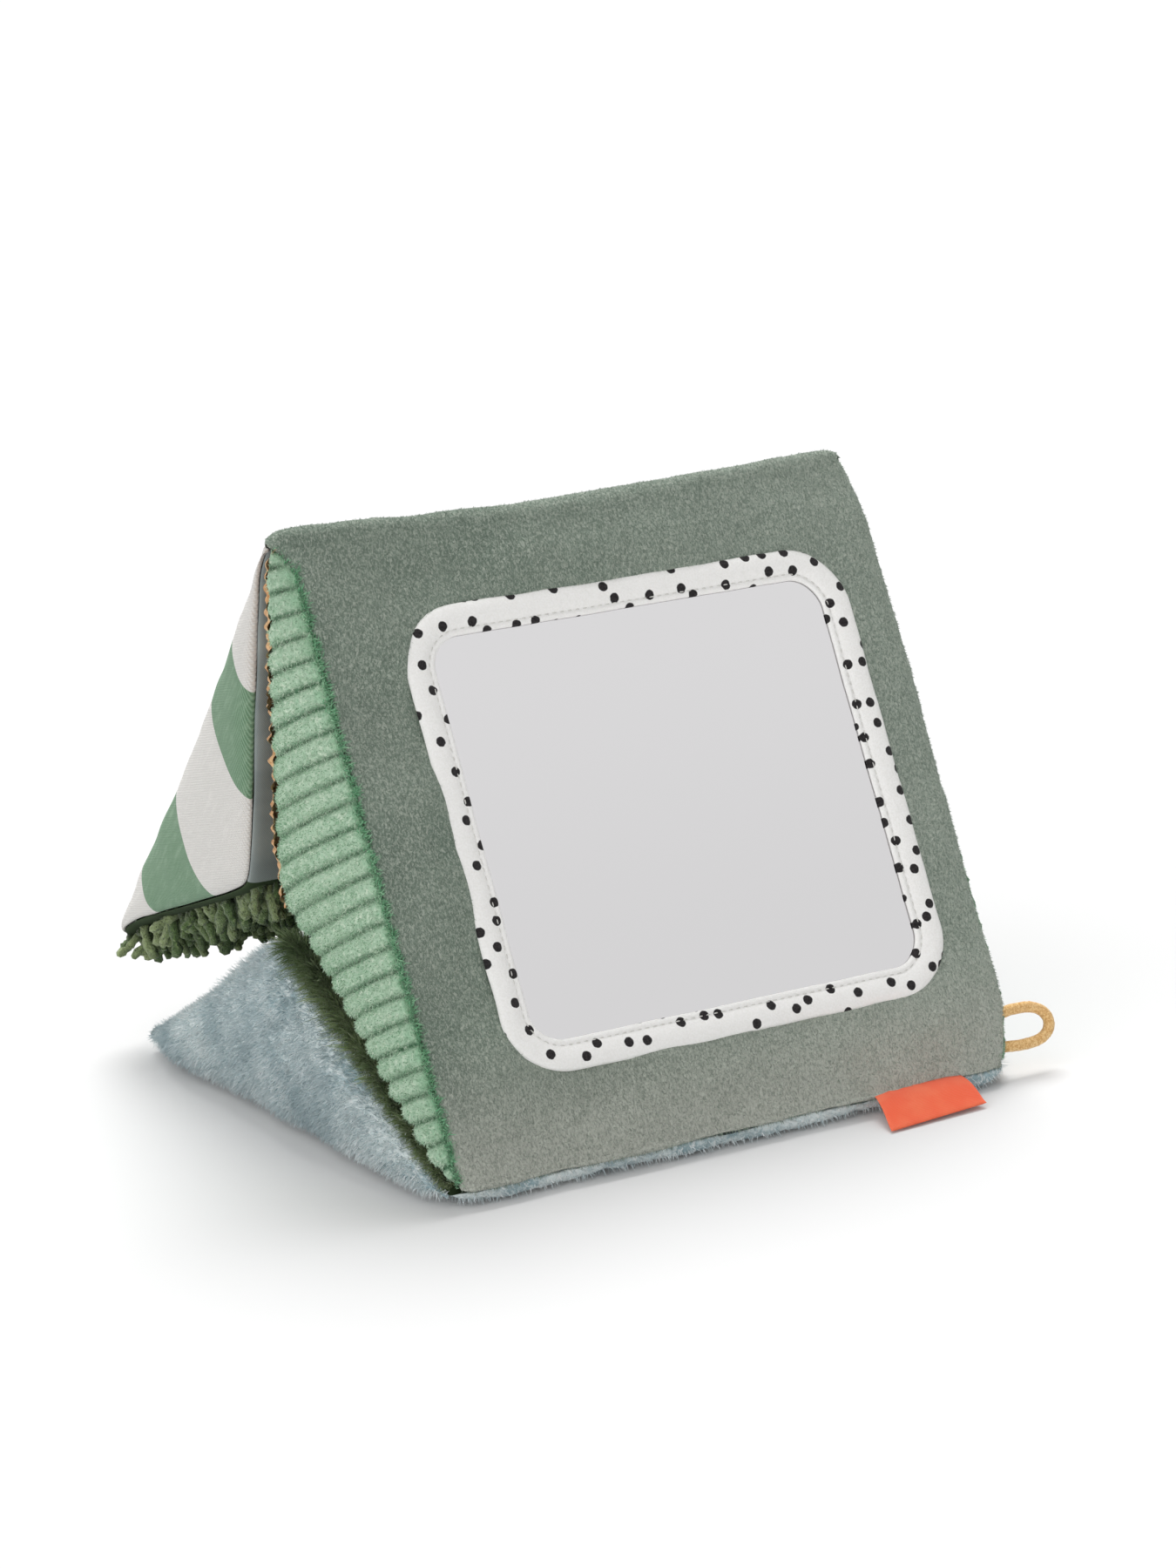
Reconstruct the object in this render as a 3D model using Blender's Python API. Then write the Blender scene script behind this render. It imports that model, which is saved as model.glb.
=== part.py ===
"""Soft floor mirror for babies: three stuffed wedges, hinged along their outer edges, that stand
as a triangular prism with a framed mirror in front and unfold into a flat mat with three ridges.

Metres, +Z up, +X along the prism. Each wedge is drawn lying on its outer face, in its own section
plane: u runs along the outer face from edge to edge, and h is the height above the hinge lines.
"""

import math
import random

import bmesh
import bpy
from mathutils import Matrix, Vector

# The prism
HINGE_PITCH = 0.213  # between a wedge's two long edges, from hinge line to hinge line
BODY_LENGTH = 0.2125
SLOPE = math.radians(30)  # of a wedge's inner faces against its outer face
FRONT_LEAN = math.radians(64.2)  # of the mirror face above the floor
BACK_OPEN = math.radians(7.5)  # between the front and back wedges, below the apex

# Layers and seams
FABRIC = 0.0022
SEAM_GAP = 0.0003
ROLL_RADIUS = 0.0025  # of the rolled seam on each hinge line
ROLL_SIDES = 16
TIP_ARC_STEPS = 2
CORE_TIP = 0.001  # the foam's thickness where its thin edges are cut off

# How far the stuffing swells each wedge, and the seams draw it in
SOLE_CROWN = 0.0035
BACK_CROWN = 0.003
END_CROWN = 0.004
RIBBED_END_CROWN = 0.0015
FOAM_SLACK = 0.001  # by which the foam's ends swell less than their cloth
RIDGE_DRAW = 0.0015
EDGE_DRAW = 0.002
EDGE_ROUNDING = 0.028  # from a long edge to where a crowned face is level
ROUNDING_SHARES = (0.35, 1.0)
HEIGHT_SHARES = (0.2, 0.45, 0.7)
RIBBED_HEIGHT_SHARES = (0.3,)

# Corduroy ends of the front wedge
RIB_COUNT = 27
RIB_HEIGHT = 0.003
RIB_END = 0.0025  # over which a rib's end is rounded
RIB_STEPS = 3
RIB_END_SHARE = 0.35

# Piles that fill the gaps between the wedges
FUR_RISE = math.radians(3.0)
FUR_HEIGHT = 0.007
BOUCLE_RISE = math.radians(4.5)
BOUCLE_HEIGHT = 0.003
SATIN_RISE = 0.0
PILE_STEPS = 3

# Chenille strands under the back wedge
STRAND_PITCH_X = 0.0086
STRAND_PITCH_U = 0.0073
STRAND_RADIUS = 0.0019
STRAND_TIP_SHARE = 0.75
STRAND_SIDES = 3
STRAND_LENGTH_RIDGE = 0.0105
STRAND_LENGTH_REAR = 0.0145
STRAND_ROOT = 0.001
STRAND_LEAN = math.radians(7)
STRAND_MARGIN = 0.0045
STRAND_SEED = 4

# Mirror
FRAME_WIDTH = 0.163
FRAME_HEIGHT = 0.151
FRAME_CORNER = 0.020
FRAME_BAND = 0.0095
FRAME_THICKNESS = 0.0016
FRAME_EDGE = 0.0005
FRAME_OFFSET_X = 0.0102
FRAME_OFFSET_U = -0.0007  # from the middle of the face, away from the floor
MIRROR_UNDER_FRAME = 0.0045
MIRROR_THICKNESS = 0.001
BOARD_THICKNESS = 0.0009
CORNER_STEPS = 6
CUT_OVERRUN = 0.002

# Elastic loop and tag
CORD_RADIUS = 0.0019
LOOP_REACH = 0.0190  # of the cord's middle past the end seam
LOOP_SEAT = 0.0007  # from the rib that a cord end meets
LOOP_TOP = 0.0170  # from the lower hinge line, along the mirror face
LOOP_BOTTOM = 0.0060
LOOP_HEIGHT = 0.0022  # of the cord's middle above the hinge lines
LOOP_LIFT = 0.0030
LOOP_POINTS = 15
TAG_WIDTH = 0.034
TAG_LENGTH = 0.016
TAG_THICKNESS = 0.0009
TAG_CENTRE_X = 0.070
TAG_START = math.radians(172)  # around the lower hinge line, from the rear over the top
TAG_FLOOR_GAP = 0.0004
TAG_CURL = 0.0012
TAG_STEPS = 4

HALF_LENGTH = BODY_LENGTH / 2
LAYERS = FABRIC + SEAM_GAP  # from a wedge's outline to its foam
CORE_TIP_U = LAYERS / math.sin(SLOPE) + CORE_TIP / math.tan(SLOPE)
TRIMMED_RADIUS = ROLL_RADIUS + SEAM_GAP
HINGE_HEIGHT = SOLE_CROWN + ROLL_RADIUS
RIDGE_U = HINGE_PITCH / 2
RIDGE_HEIGHT = RIDGE_U * math.tan(SLOPE)
RIDGE_DEPTH = RIDGE_HEIGHT + ROLL_RADIUS
FLOOR_HINGE = Vector((0, -HINGE_PITCH / 2, HINGE_HEIGHT))
APEX_HINGE = FLOOR_HINGE + HINGE_PITCH * Vector((0, math.cos(FRONT_LEAN), math.sin(FRONT_LEAN)))
APEX_ANGLE = math.pi - 4 * SLOPE + BACK_OPEN

COLOURS = {
    "sage_velour": ((0.20, 0.27, 0.22), 0.9),
    "blue_plush": ((0.36, 0.46, 0.48), 0.95),
    "mint_corduroy": ((0.30, 0.50, 0.36), 0.95),
    "stripe_cotton": ((0.62, 0.61, 0.58), 0.9),
    "slate_satin": ((0.11, 0.15, 0.16), 0.45),
    "ochre_boucle": ((0.62, 0.34, 0.11), 0.95),
    "fur": ((0.07, 0.10, 0.04), 1.0),
    "chenille": ((0.07, 0.14, 0.03), 1.0),
    "foam": ((0.80, 0.78, 0.70), 0.9),
    "board": ((0.50, 0.50, 0.50), 0.8),
    "dotted_cotton": ((0.85, 0.85, 0.83), 0.85),
    "ochre_cord": ((0.60, 0.38, 0.15), 0.7),
    "orange_tag": ((0.95, 0.17, 0.07), 0.7),
    "mirror": ((0.85, 0.85, 0.87), 0.05),
}


def clear_scene():
    for old in list(bpy.data.objects):
        bpy.data.objects.remove(old)


def new_collection(name):
    group = bpy.data.collections.new(name)
    bpy.context.scene.collection.children.link(group)
    return group


def material(name):
    """The Principled material of a cloth or sheet, made once."""
    found = bpy.data.materials.get(name)
    if found:
        return found
    colour, roughness = COLOURS[name]
    made = bpy.data.materials.new(name)
    made.use_nodes = True
    made.diffuse_color = (*colour, 1)
    shader = made.node_tree.nodes["Principled BSDF"]
    shader.inputs["Base Color"].default_value = (*colour, 1)
    shader.inputs["Roughness"].default_value = roughness
    shader.inputs["Metallic"].default_value = 1.0 if name == "mirror" else 0.0
    return made


class Wedge:
    """Where a wedge lies, which of its edges is free, and how its outer face swells."""

    def __init__(self, name, hinge, angle, first_u, crown, end_crown, free_edge=None):
        self.name = name
        self.first_u = first_u
        self.crown = crown
        self.end_crown = end_crown
        self.free_edge = free_edge
        self.frame = bpy.data.objects.new(name + "_frame", None)
        self.frame.location = hinge
        self.frame.rotation_euler = (angle, 0, 0)
        bpy.context.scene.collection.objects.link(self.frame)

    def mirrored(self, outline):
        """The outline turned about the ridge, so that one drawing serves both halves."""
        return [(HINGE_PITCH - u, h) for u, h in reversed(outline)]

    def plump(self, point, slack=0.0):
        """Moves a point of the flat-sided wedge to its place on the stuffed one."""
        x, u, h = point
        rise = (h + ROLL_RADIUS) / RIDGE_DEPTH
        far = u / HINGE_PITCH - rise / 2
        near = 1 - rise - far
        along = max(0.0, 1 - (x / HALF_LENGTH) ** 2)
        bubble = max(0.0, 27 * rise * far * near)
        level = rounding(min(u, HINGE_PITCH - u)) * rounding(HALF_LENGTH - abs(x))
        new_x = x * (1 + (self.end_crown - slack) * bubble / HALF_LENGTH)
        new_h = h - self.crown * level * max(0.0, 1 - rise) - RIDGE_DRAW * along * max(0.0, rise)
        new_u = u
        if self.free_edge == "far":
            new_u -= EDGE_DRAW * along * (u / HINGE_PITCH) ** 2
        if self.free_edge == "near":
            new_u += EDGE_DRAW * along * (1 - u / HINGE_PITCH) ** 2
        return Vector((new_x, new_u, new_h))


def rounding(distance):
    """From 0 on a seam to 1 where the crowned face is level."""
    share = min(1.0, max(0.0, distance / EDGE_ROUNDING))
    return 1 - (1 - share) ** 2


def arc(centre_u, radius, start, end, steps):
    """Points of an arc about a hinge line, from one angle to another."""
    angles = [start + (end - start) * i / steps for i in range(steps + 1)]
    return [(centre_u + radius * math.cos(a), radius * math.sin(a)) for a in angles]


def extruded(outline, low_x, high_x):
    """A closed prism: the outline's face, extruded along X."""
    bm = bmesh.new()
    face = bm.faces.new([bm.verts.new((low_x, u, h)) for u, h in outline])
    grown = bmesh.ops.extrude_face_region(bm, geom=[face])
    moved = [v for v in grown["geom"] if isinstance(v, bmesh.types.BMVert)]
    bmesh.ops.translate(bm, verts=moved, vec=(high_x - low_x, 0, 0))
    return bm


def slice_at(bm, places, normal):
    """Adds an edge loop where each plane crosses the mesh."""
    for place in places:
        everything = bm.verts[:] + bm.edges[:] + bm.faces[:]
        bmesh.ops.bisect_plane(bm, geom=everything, dist=SEAM_GAP / 10, plane_co=place, plane_no=normal)


def slice_for_crown(bm, across=True):
    """Cuts the prism where a stuffed face bends, and where the foam under it ends."""
    insets = [EDGE_ROUNDING * share for share in ROUNDING_SHARES]
    stations = [HALF_LENGTH - inset for inset in insets + [LAYERS]]
    slice_at(bm, [(x, 0, 0) for x in [0.0] + stations + [-s for s in stations]], (1, 0, 0))
    if across:
        insets.append(CORE_TIP_U)
        stations = insets + [HINGE_PITCH - inset for inset in insets]
        stations += [HINGE_PITCH / 4, RIDGE_U, HINGE_PITCH - HINGE_PITCH / 4]
        slice_at(bm, [(0, u, 0) for u in stations], (0, 1, 0))


def slice_under_slopes(bm, inset):
    """Cuts along both inner faces, this far inside them."""
    below = -inset / math.cos(SLOPE)
    slice_at(bm, [(0, 0, below)], (0, -math.sin(SLOPE), math.cos(SLOPE)))
    slice_at(bm, [(0, HINGE_PITCH, below)], (0, math.sin(SLOPE), math.cos(SLOPE)))


def finish(bm, name, wedge, colour, deform=True, slack=0.0):
    """Swells the mesh to the stuffed form, and makes it a named object in its wedge's frame."""
    if deform:
        for vert in bm.verts:
            vert.co = wedge.plump(vert.co, slack)
    bmesh.ops.translate(bm, verts=bm.verts, vec=(0, wedge.first_u, 0))
    bmesh.ops.recalc_face_normals(bm, faces=bm.faces)
    mesh = bpy.data.meshes.new(name)
    bm.to_mesh(mesh)
    bm.free()
    made = bpy.data.objects.new(name, mesh)
    made.parent = wedge.frame
    mesh.materials.append(material(colour))
    PARTS.objects.link(made)
    return made


def outer_outline(free_edge):
    """The outer layer, trimmed round each hinge, with a rolled bead along a free edge."""
    under = -ROLL_RADIUS
    top = FABRIC - ROLL_RADIUS
    low = -math.acos(math.sqrt(1 - (under / TRIMMED_RADIUS) ** 2))
    high = math.asin(top / TRIMMED_RADIUS)
    trimmed = arc(0, TRIMMED_RADIUS, high, low, TIP_ARC_STEPS)
    bead_top = math.asin(top / ROLL_RADIUS)
    bead = arc(0, ROLL_RADIUS, bead_top, 3 * math.pi / 2, ROLL_SIDES - ROLL_SIDES // 4)
    near = bead if free_edge == "near" else trimmed
    far = bead if free_edge == "far" else trimmed
    return near + [(HINGE_PITCH - u, h) for u, h in reversed(far)]


def inner_outline(pile_rise=0.0, pile_height=0.0):
    """The layer on the inner face of the near half: trimmed at the hinge, mitred at the ridge."""
    end_u = RIDGE_U - SEAM_GAP / 2
    drop = FABRIC / math.cos(SLOPE)
    bottom = [(TRIMMED_RADIUS, 0), (FABRIC / math.sin(SLOPE), 0), (end_u, end_u * math.tan(SLOPE) - drop)]
    tip = arc(0, TRIMMED_RADIUS, SLOPE, 0, TIP_ARC_STEPS)[:-1]
    if not pile_height:
        return bottom + [(end_u, end_u * math.tan(SLOPE))] + tip
    full = pile_height / math.tan(pile_rise)
    slant = end_u / math.cos(SLOPE)
    places = [slant * (PILE_STEPS - i) / PILE_STEPS for i in range(PILE_STEPS)]
    if full < slant:
        places = sorted(set(places + [full]), reverse=True)
    pile = []
    for place in places:
        height = min(pile_height, place * math.tan(pile_rise))
        pile.append(off_slope(place, height))
    pile[0] = (end_u, pile[0][1])
    return bottom + pile + tip


def off_slope(along, height):
    """The point this far up the near inner face from its hinge, and this high above it."""
    u = along * math.cos(SLOPE) - height * math.sin(SLOPE)
    return (u, along * math.sin(SLOPE) + height * math.cos(SLOPE))


def end_outline():
    """The triangle of cloth that closes an end."""
    tip = arc(0, TRIMMED_RADIUS, SLOPE, 0, TIP_ARC_STEPS)
    return [(RIDGE_U, RIDGE_HEIGHT)] + tip + [(HINGE_PITCH - u, h) for u, h in reversed(tip)]


def core_outline():
    """The foam, inside its layers, with its thin edges cut off."""
    top = RIDGE_HEIGHT - LAYERS / math.cos(SLOPE)
    half = [(RIDGE_U, top), (CORE_TIP_U, CORE_TIP), (CORE_TIP_U, 0)]
    return half + [(HINGE_PITCH - u, h) for u, h in reversed(half[1:])]


def foam_core(wedge):
    end = HALF_LENGTH - LAYERS
    bm = extruded(core_outline(), -end, end)
    slice_for_crown(bm)
    slice_at(bm, [(0, 0, RIDGE_HEIGHT * share) for share in HEIGHT_SHARES], (0, 0, 1))
    return finish(bm, wedge.name + "_foam_core", wedge, "foam", slack=FOAM_SLACK)


def outer_panel(wedge, name, colour):
    bm = extruded(outer_outline(wedge.free_edge), -HALF_LENGTH, HALF_LENGTH)
    slice_for_crown(bm, across=wedge.crown > 0)
    return finish(bm, name, wedge, colour)


def inner_panel(wedge, name, colour, half, pile_rise=0.0, pile_height=0.0):
    """A layer on one inner face, half being the near or the far one."""
    end = HALF_LENGTH - LAYERS
    outline = inner_outline(pile_rise, pile_height)
    if half == "far":
        outline = wedge.mirrored(outline)
    bm = extruded(outline, -end, end)
    slice_for_crown(bm)
    return finish(bm, name, wedge, colour)


def end_panel(wedge, side, name, colour):
    """The plain cloth of one end, swelling out over the stuffing."""
    bm = end_blank(side)
    slice_for_crown(bm)
    slice_under_slopes(bm, LAYERS)
    slice_at(bm, [(0, 0, RIDGE_HEIGHT * share) for share in HEIGHT_SHARES], (0, 0, 1))
    return finish(bm, name, wedge, colour)


def end_blank(side):
    return extruded(end_outline(), side * (HALF_LENGTH - FABRIC), side * HALF_LENGTH)


def corduroy_end(wedge, side, name):
    """An end of wide-wale corduroy: ribs across the wedge, rounded where they meet a seam."""
    bm = end_blank(side)
    pitch = HINGE_PITCH / RIB_COUNT
    stations = [pitch * i / RIB_STEPS for i in range(1, RIB_COUNT * RIB_STEPS)]
    slice_at(bm, [(0, u, 0) for u in stations], (0, 1, 0))
    slice_at(bm, [(0, 0, RIB_END)], (0, 0, 1))
    slice_under_slopes(bm, RIB_END)
    slice_at(bm, [(0, 0, RIDGE_HEIGHT * share) for share in RIBBED_HEIGHT_SHARES], (0, 0, 1))
    for vert in bm.verts:
        if abs(vert.co.x) < HALF_LENGTH - FABRIC / 2:
            continue
        wave = abs(math.sin(math.pi * vert.co.y / pitch))
        to_slope = (min(vert.co.y, HINGE_PITCH - vert.co.y) * math.tan(SLOPE) - vert.co.z) * math.cos(SLOPE)
        inside = min(1.0, to_slope / RIB_END, vert.co.z / RIB_END)
        vert.co.x += side * RIB_HEIGHT * wave * (RIB_END_SHARE + (1 - RIB_END_SHARE) * max(0.0, inside))
    return finish(bm, name, wedge, "mint_corduroy")


def fused(bm_base, bm_added):
    """The Boolean union of two closed meshes, as a mesh of its own."""
    pair = []
    for label, bm in (("base", bm_base), ("added", bm_added)):
        mesh = bpy.data.meshes.new(label)
        bm.to_mesh(mesh)
        bm.free()
        one = bpy.data.objects.new(label, mesh)
        CUTTERS.objects.link(one)
        pair.append(one)
    union = pair[0].modifiers.new("union", "BOOLEAN")
    union.operation = "UNION"
    union.object = pair[1]
    result = bmesh.new()
    result.from_object(pair[0], bpy.context.evaluated_depsgraph_get())
    for one in pair:
        bpy.data.objects.remove(one)
    return result


def strand_panel(wedge, name):
    """Thick chenille strands that stand on their backing, one by one, on the near inner face."""
    end = HALF_LENGTH - LAYERS
    backing = extruded(inner_outline(), -end, end)
    slice_for_crown(backing)
    slant = RIDGE_U / math.cos(SLOPE)
    rows = int((slant - 2 * STRAND_MARGIN) / STRAND_PITCH_U) + 1
    columns = int((2 * end - 2 * STRAND_MARGIN) / STRAND_PITCH_X) + 1
    draw = random.Random(STRAND_SEED)
    strands = bmesh.new()
    for row in range(rows):
        share = row / (rows - 1)
        along = STRAND_MARGIN + (slant - 2 * STRAND_MARGIN) * share
        length = STRAND_LENGTH_REAR + (STRAND_LENGTH_RIDGE - STRAND_LENGTH_REAR) * share
        for column in range(columns):
            x = (2 * column / (columns - 1) - 1) * (end - STRAND_MARGIN)
            add_strand(strands, x, along, length, draw)
    print("chenille strands:", rows * columns)
    bm = fused(backing, strands)
    return finish(bm, name, wedge, "chenille")


def add_strand(bm, x, along, length, draw):
    lean_x = draw.uniform(-STRAND_LEAN, STRAND_LEAN)
    lean_u = draw.uniform(-STRAND_LEAN, STRAND_LEAN)
    turn = draw.uniform(0, math.tau)
    full = length + STRAND_ROOT
    made = bmesh.ops.create_cone(
        bm,
        cap_ends=True,
        segments=STRAND_SIDES,
        radius1=STRAND_RADIUS,
        radius2=STRAND_RADIUS * STRAND_TIP_SHARE,
        depth=full,
    )["verts"]
    bmesh.ops.translate(bm, verts=made, vec=(0, 0, full / 2))
    for axis, angle in (("Z", turn), ("Y", lean_x), ("X", SLOPE + lean_u)):
        bmesh.ops.rotate(bm, verts=made, cent=(0, 0, 0), matrix=turn_about(axis, angle))
    u, h = off_slope(along, -STRAND_ROOT)
    bmesh.ops.translate(bm, verts=made, vec=(x, u, h))


def turn_about(axis, angle):
    return Matrix.Rotation(angle, 3, axis)


def rounded_rectangle(width, height, corner):
    """Points of a rectangle with round corners, as turns about its four corner centres."""
    points = []
    for quarter, (side_x, side_y) in enumerate(((1, 1), (-1, 1), (-1, -1), (1, -1))):
        for step in range(CORNER_STEPS + 1):
            angle = math.pi / 2 * (quarter + step / CORNER_STEPS)
            x = side_x * (width / 2 - corner) + corner * math.cos(angle)
            y = side_y * (height / 2 - corner) + corner * math.sin(angle)
            points.append((x, y))
    return points


def flat_curve(name, outlines, half_thickness, edge=0.0):
    """A flat sheet with these outlines, as a mesh whose faces lie along X and Y."""
    curve = bpy.data.curves.new(name, "CURVE")
    curve.dimensions = "2D"
    curve.fill_mode = "BOTH"
    curve.extrude = half_thickness - edge
    curve.bevel_depth = edge
    curve.bevel_resolution = 0
    curve.offset = -edge
    for outline in outlines:
        spline = curve.splines.new("POLY")
        spline.points.add(len(outline) - 1)
        for point, (x, y) in zip(spline.points, outline):
            point.co = (x, y, 0, 1)
        spline.use_cyclic_u = True
    drawn = bpy.data.objects.new(name, curve)
    CUTTERS.objects.link(drawn)
    bm = bmesh.new()
    mesh = bpy.data.meshes.new_from_object(drawn.evaluated_get(bpy.context.evaluated_depsgraph_get()))
    bm.from_mesh(mesh)
    bpy.data.objects.remove(drawn)
    bpy.data.meshes.remove(mesh)
    bmesh.ops.remove_doubles(bm, verts=bm.verts, dist=SEAM_GAP / 100)
    return bm


def on_mirror_face(bm, height):
    """Moves a sheet drawn about the origin to the frame's place, its middle at this height."""
    place = (FRAME_OFFSET_X, RIDGE_U + FRAME_OFFSET_U, height)
    bmesh.ops.translate(bm, verts=bm.verts, vec=place)


def mirror_outline(gap=0.0):
    """The mirror's edge, which lies under the frame, or the pocket round it."""
    less = 2 * (FRAME_BAND - MIRROR_UNDER_FRAME - gap)
    return rounded_rectangle(FRAME_WIDTH - less, FRAME_HEIGHT - less, FRAME_CORNER - less / 2)


def velour_panel(wedge):
    """The front cloth, with the pocket that the mirror lies in."""
    panel = outer_panel(wedge, "front_velour_panel", "sage_velour")
    bm = flat_curve("pocket", [mirror_outline(SEAM_GAP)], FABRIC + CUT_OVERRUN)
    on_mirror_face(bm, FABRIC / 2 - ROLL_RADIUS)
    cutter = finish(bm, "pocket_cutter", wedge, "foam", deform=False)
    PARTS.objects.unlink(cutter)
    CUTTERS.objects.link(cutter)
    cutter.hide_render = True
    cutter.display_type = "WIRE"
    pocket = panel.modifiers.new("pocket", "BOOLEAN")
    pocket.operation = "DIFFERENCE"
    pocket.object = cutter
    return panel


def mirror_stack(wedge):
    """The mirror, the board behind it and the cloth frame that holds its edge."""
    mirror_middle = MIRROR_THICKNESS / 2 - ROLL_RADIUS
    board_middle = MIRROR_THICKNESS - ROLL_RADIUS + SEAM_GAP + BOARD_THICKNESS / 2
    frame_middle = -ROLL_RADIUS - SEAM_GAP - FRAME_THICKNESS / 2
    bm = flat_curve("mirror", [mirror_outline()], MIRROR_THICKNESS / 2)
    on_mirror_face(bm, mirror_middle)
    finish(bm, "mirror_sheet", wedge, "mirror", deform=False)
    bm = flat_curve("board", [mirror_outline()], BOARD_THICKNESS / 2)
    on_mirror_face(bm, board_middle)
    finish(bm, "mirror_backing_board", wedge, "board", deform=False)
    outside = rounded_rectangle(FRAME_WIDTH, FRAME_HEIGHT, FRAME_CORNER)
    less = 2 * FRAME_BAND
    inside = rounded_rectangle(FRAME_WIDTH - less, FRAME_HEIGHT - less, FRAME_CORNER - FRAME_BAND)
    bm = flat_curve("frame", [outside, inside], FRAME_THICKNESS / 2, FRAME_EDGE)
    on_mirror_face(bm, frame_middle)
    finish(bm, "mirror_dotted_frame", wedge, "dotted_cotton", deform=False)


def hinge_roll(wedge, name, u, colour):
    """The rolled seam that joins two wedges, on their hinge line."""
    bm = bmesh.new()
    bmesh.ops.create_cone(
        bm,
        cap_ends=True,
        segments=ROLL_SIDES,
        radius1=ROLL_RADIUS,
        radius2=ROLL_RADIUS,
        depth=BODY_LENGTH,
    )
    bmesh.ops.rotate(bm, verts=bm.verts, cent=(0, 0, 0), matrix=turn_about("Y", math.pi / 2))
    bmesh.ops.translate(bm, verts=bm.verts, vec=(0, u, 0))
    made = finish(bm, name, wedge, colour, deform=False)
    made.data.shade_smooth()
    made.data.set_sharp_from_angle(angle=SLOPE)
    return made


def loop_point(share):
    """A point of the loop's path: out from the end seam, round, and back in below."""
    turn = math.pi * share
    middle = (LOOP_TOP + LOOP_BOTTOM) / 2
    start = RIB_HEIGHT + LOOP_SEAT
    reach = start + (LOOP_REACH - start) * math.sin(turn) ** 0.8
    across = (LOOP_TOP - LOOP_BOTTOM) / 2 * math.cos(turn)
    bulge = LOOP_LIFT * math.sin(turn) * math.cos(turn)
    up = middle + across + bulge
    return (HALF_LENGTH + reach, HINGE_PITCH - up, LOOP_HEIGHT)


def elastic_loop(wedge):
    """A loop of round elastic cord, its two ends sewn into the right end's lower front seam."""
    curve = bpy.data.curves.new("elastic_loop", "CURVE")
    curve.dimensions = "3D"
    curve.bevel_depth = CORD_RADIUS
    curve.bevel_resolution = 2
    curve.use_fill_caps = True
    spline = curve.splines.new("POLY")
    spline.points.add(LOOP_POINTS - 1)
    for i, point in enumerate(spline.points):
        point.co = (*loop_point(i / (LOOP_POINTS - 1)), 1)
    drawn = bpy.data.objects.new("loop_path", curve)
    CUTTERS.objects.link(drawn)
    mesh = bpy.data.meshes.new_from_object(drawn.evaluated_get(bpy.context.evaluated_depsgraph_get()))
    bm = bmesh.new()
    bm.from_mesh(mesh)
    bpy.data.objects.remove(drawn)
    bpy.data.meshes.remove(mesh)
    bmesh.ops.remove_doubles(bm, verts=bm.verts, dist=SEAM_GAP / 100)
    made = finish(bm, "elastic_loop", wedge, "ochre_cord", deform=False)
    made.data.shade_smooth()
    return made


def side_tag(wedge):
    """A folded woven tag, sewn into the lower front seam, that slopes down to the floor."""
    start_u = TRIMMED_RADIUS * math.cos(TAG_START)
    start_h = TRIMMED_RADIUS * math.sin(TAG_START)
    end_h = TAG_FLOOR_GAP - HINGE_HEIGHT
    drop = start_h - end_h
    reach = math.sqrt(TAG_LENGTH**2 - drop**2)
    upper = []
    for i in range(TAG_STEPS + 1):
        share = i / TAG_STEPS
        sag = TAG_CURL * math.sin(math.pi * share)
        upper.append((start_u - reach * share, start_h - drop * share + sag + TAG_THICKNESS))
    lower = [(u, h - TAG_THICKNESS) for u, h in reversed(upper)]
    low_x = TAG_CENTRE_X - TAG_WIDTH / 2
    bm = extruded(upper + lower, low_x, low_x + TAG_WIDTH)
    return finish(bm, "side_tag", wedge, "orange_tag", deform=False)


def base_wedge():
    wedge = Wedge("base", FLOOR_HINGE, 0.0, 0.0, SOLE_CROWN, END_CROWN, "far")
    foam_core(wedge)
    outer_panel(wedge, "base_sole_panel", "blue_plush")
    inner_panel(wedge, "base_fur_panel", "fur", "near", FUR_RISE, FUR_HEIGHT)
    inner_panel(wedge, "base_rear_panel", "blue_plush", "far")
    end_panel(wedge, -1, "base_left_end", "blue_plush")
    end_panel(wedge, 1, "base_right_end", "blue_plush")
    hinge_roll(wedge, "floor_hinge_roll", 0.0, "blue_plush")
    side_tag(wedge)


def front_wedge():
    wedge = Wedge("front", FLOOR_HINGE, FRONT_LEAN + math.pi, -HINGE_PITCH, 0.0, RIBBED_END_CROWN)
    foam_core(wedge)
    velour_panel(wedge)
    inner_panel(wedge, "front_boucle_panel", "ochre_boucle", "near", BOUCLE_RISE, BOUCLE_HEIGHT)
    inner_panel(wedge, "front_under_panel", "mint_corduroy", "far")
    corduroy_end(wedge, -1, "front_left_end")
    corduroy_end(wedge, 1, "front_right_end")
    hinge_roll(wedge, "apex_hinge_roll", 0.0, "sage_velour")
    mirror_stack(wedge)
    elastic_loop(wedge)


def back_wedge():
    angle = FRONT_LEAN + APEX_ANGLE
    wedge = Wedge("back", APEX_HINGE, angle, -HINGE_PITCH, BACK_CROWN, END_CROWN, "near")
    foam_core(wedge)
    outer_panel(wedge, "back_outer_panel", "sage_velour")
    strand_panel(wedge, "back_chenille_panel")
    inner_panel(wedge, "back_satin_panel", "slate_satin", "far")
    end_panel(wedge, -1, "back_left_end", "stripe_cotton")
    end_panel(wedge, 1, "back_right_end", "stripe_cotton")


clear_scene()
PARTS = new_collection("baby_sensory_mirror")
CUTTERS = new_collection("cutters")
base_wedge()
front_wedge()
back_wedge()
print("floor hinge line:", tuple(FLOOR_HINGE), "apex hinge line:", tuple(APEX_HINGE))
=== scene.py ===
"""Looks of the soft floor mirror: stuffed covers, folds, piles, ribs, strands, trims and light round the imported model.

Lengths are metres. A wedge's own frame has x along the prism, u along the wedge's outer face and h above its hinge
lines, with the outer face on the negative side. Every piece is stored in the row frame.
"""
import math

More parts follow.
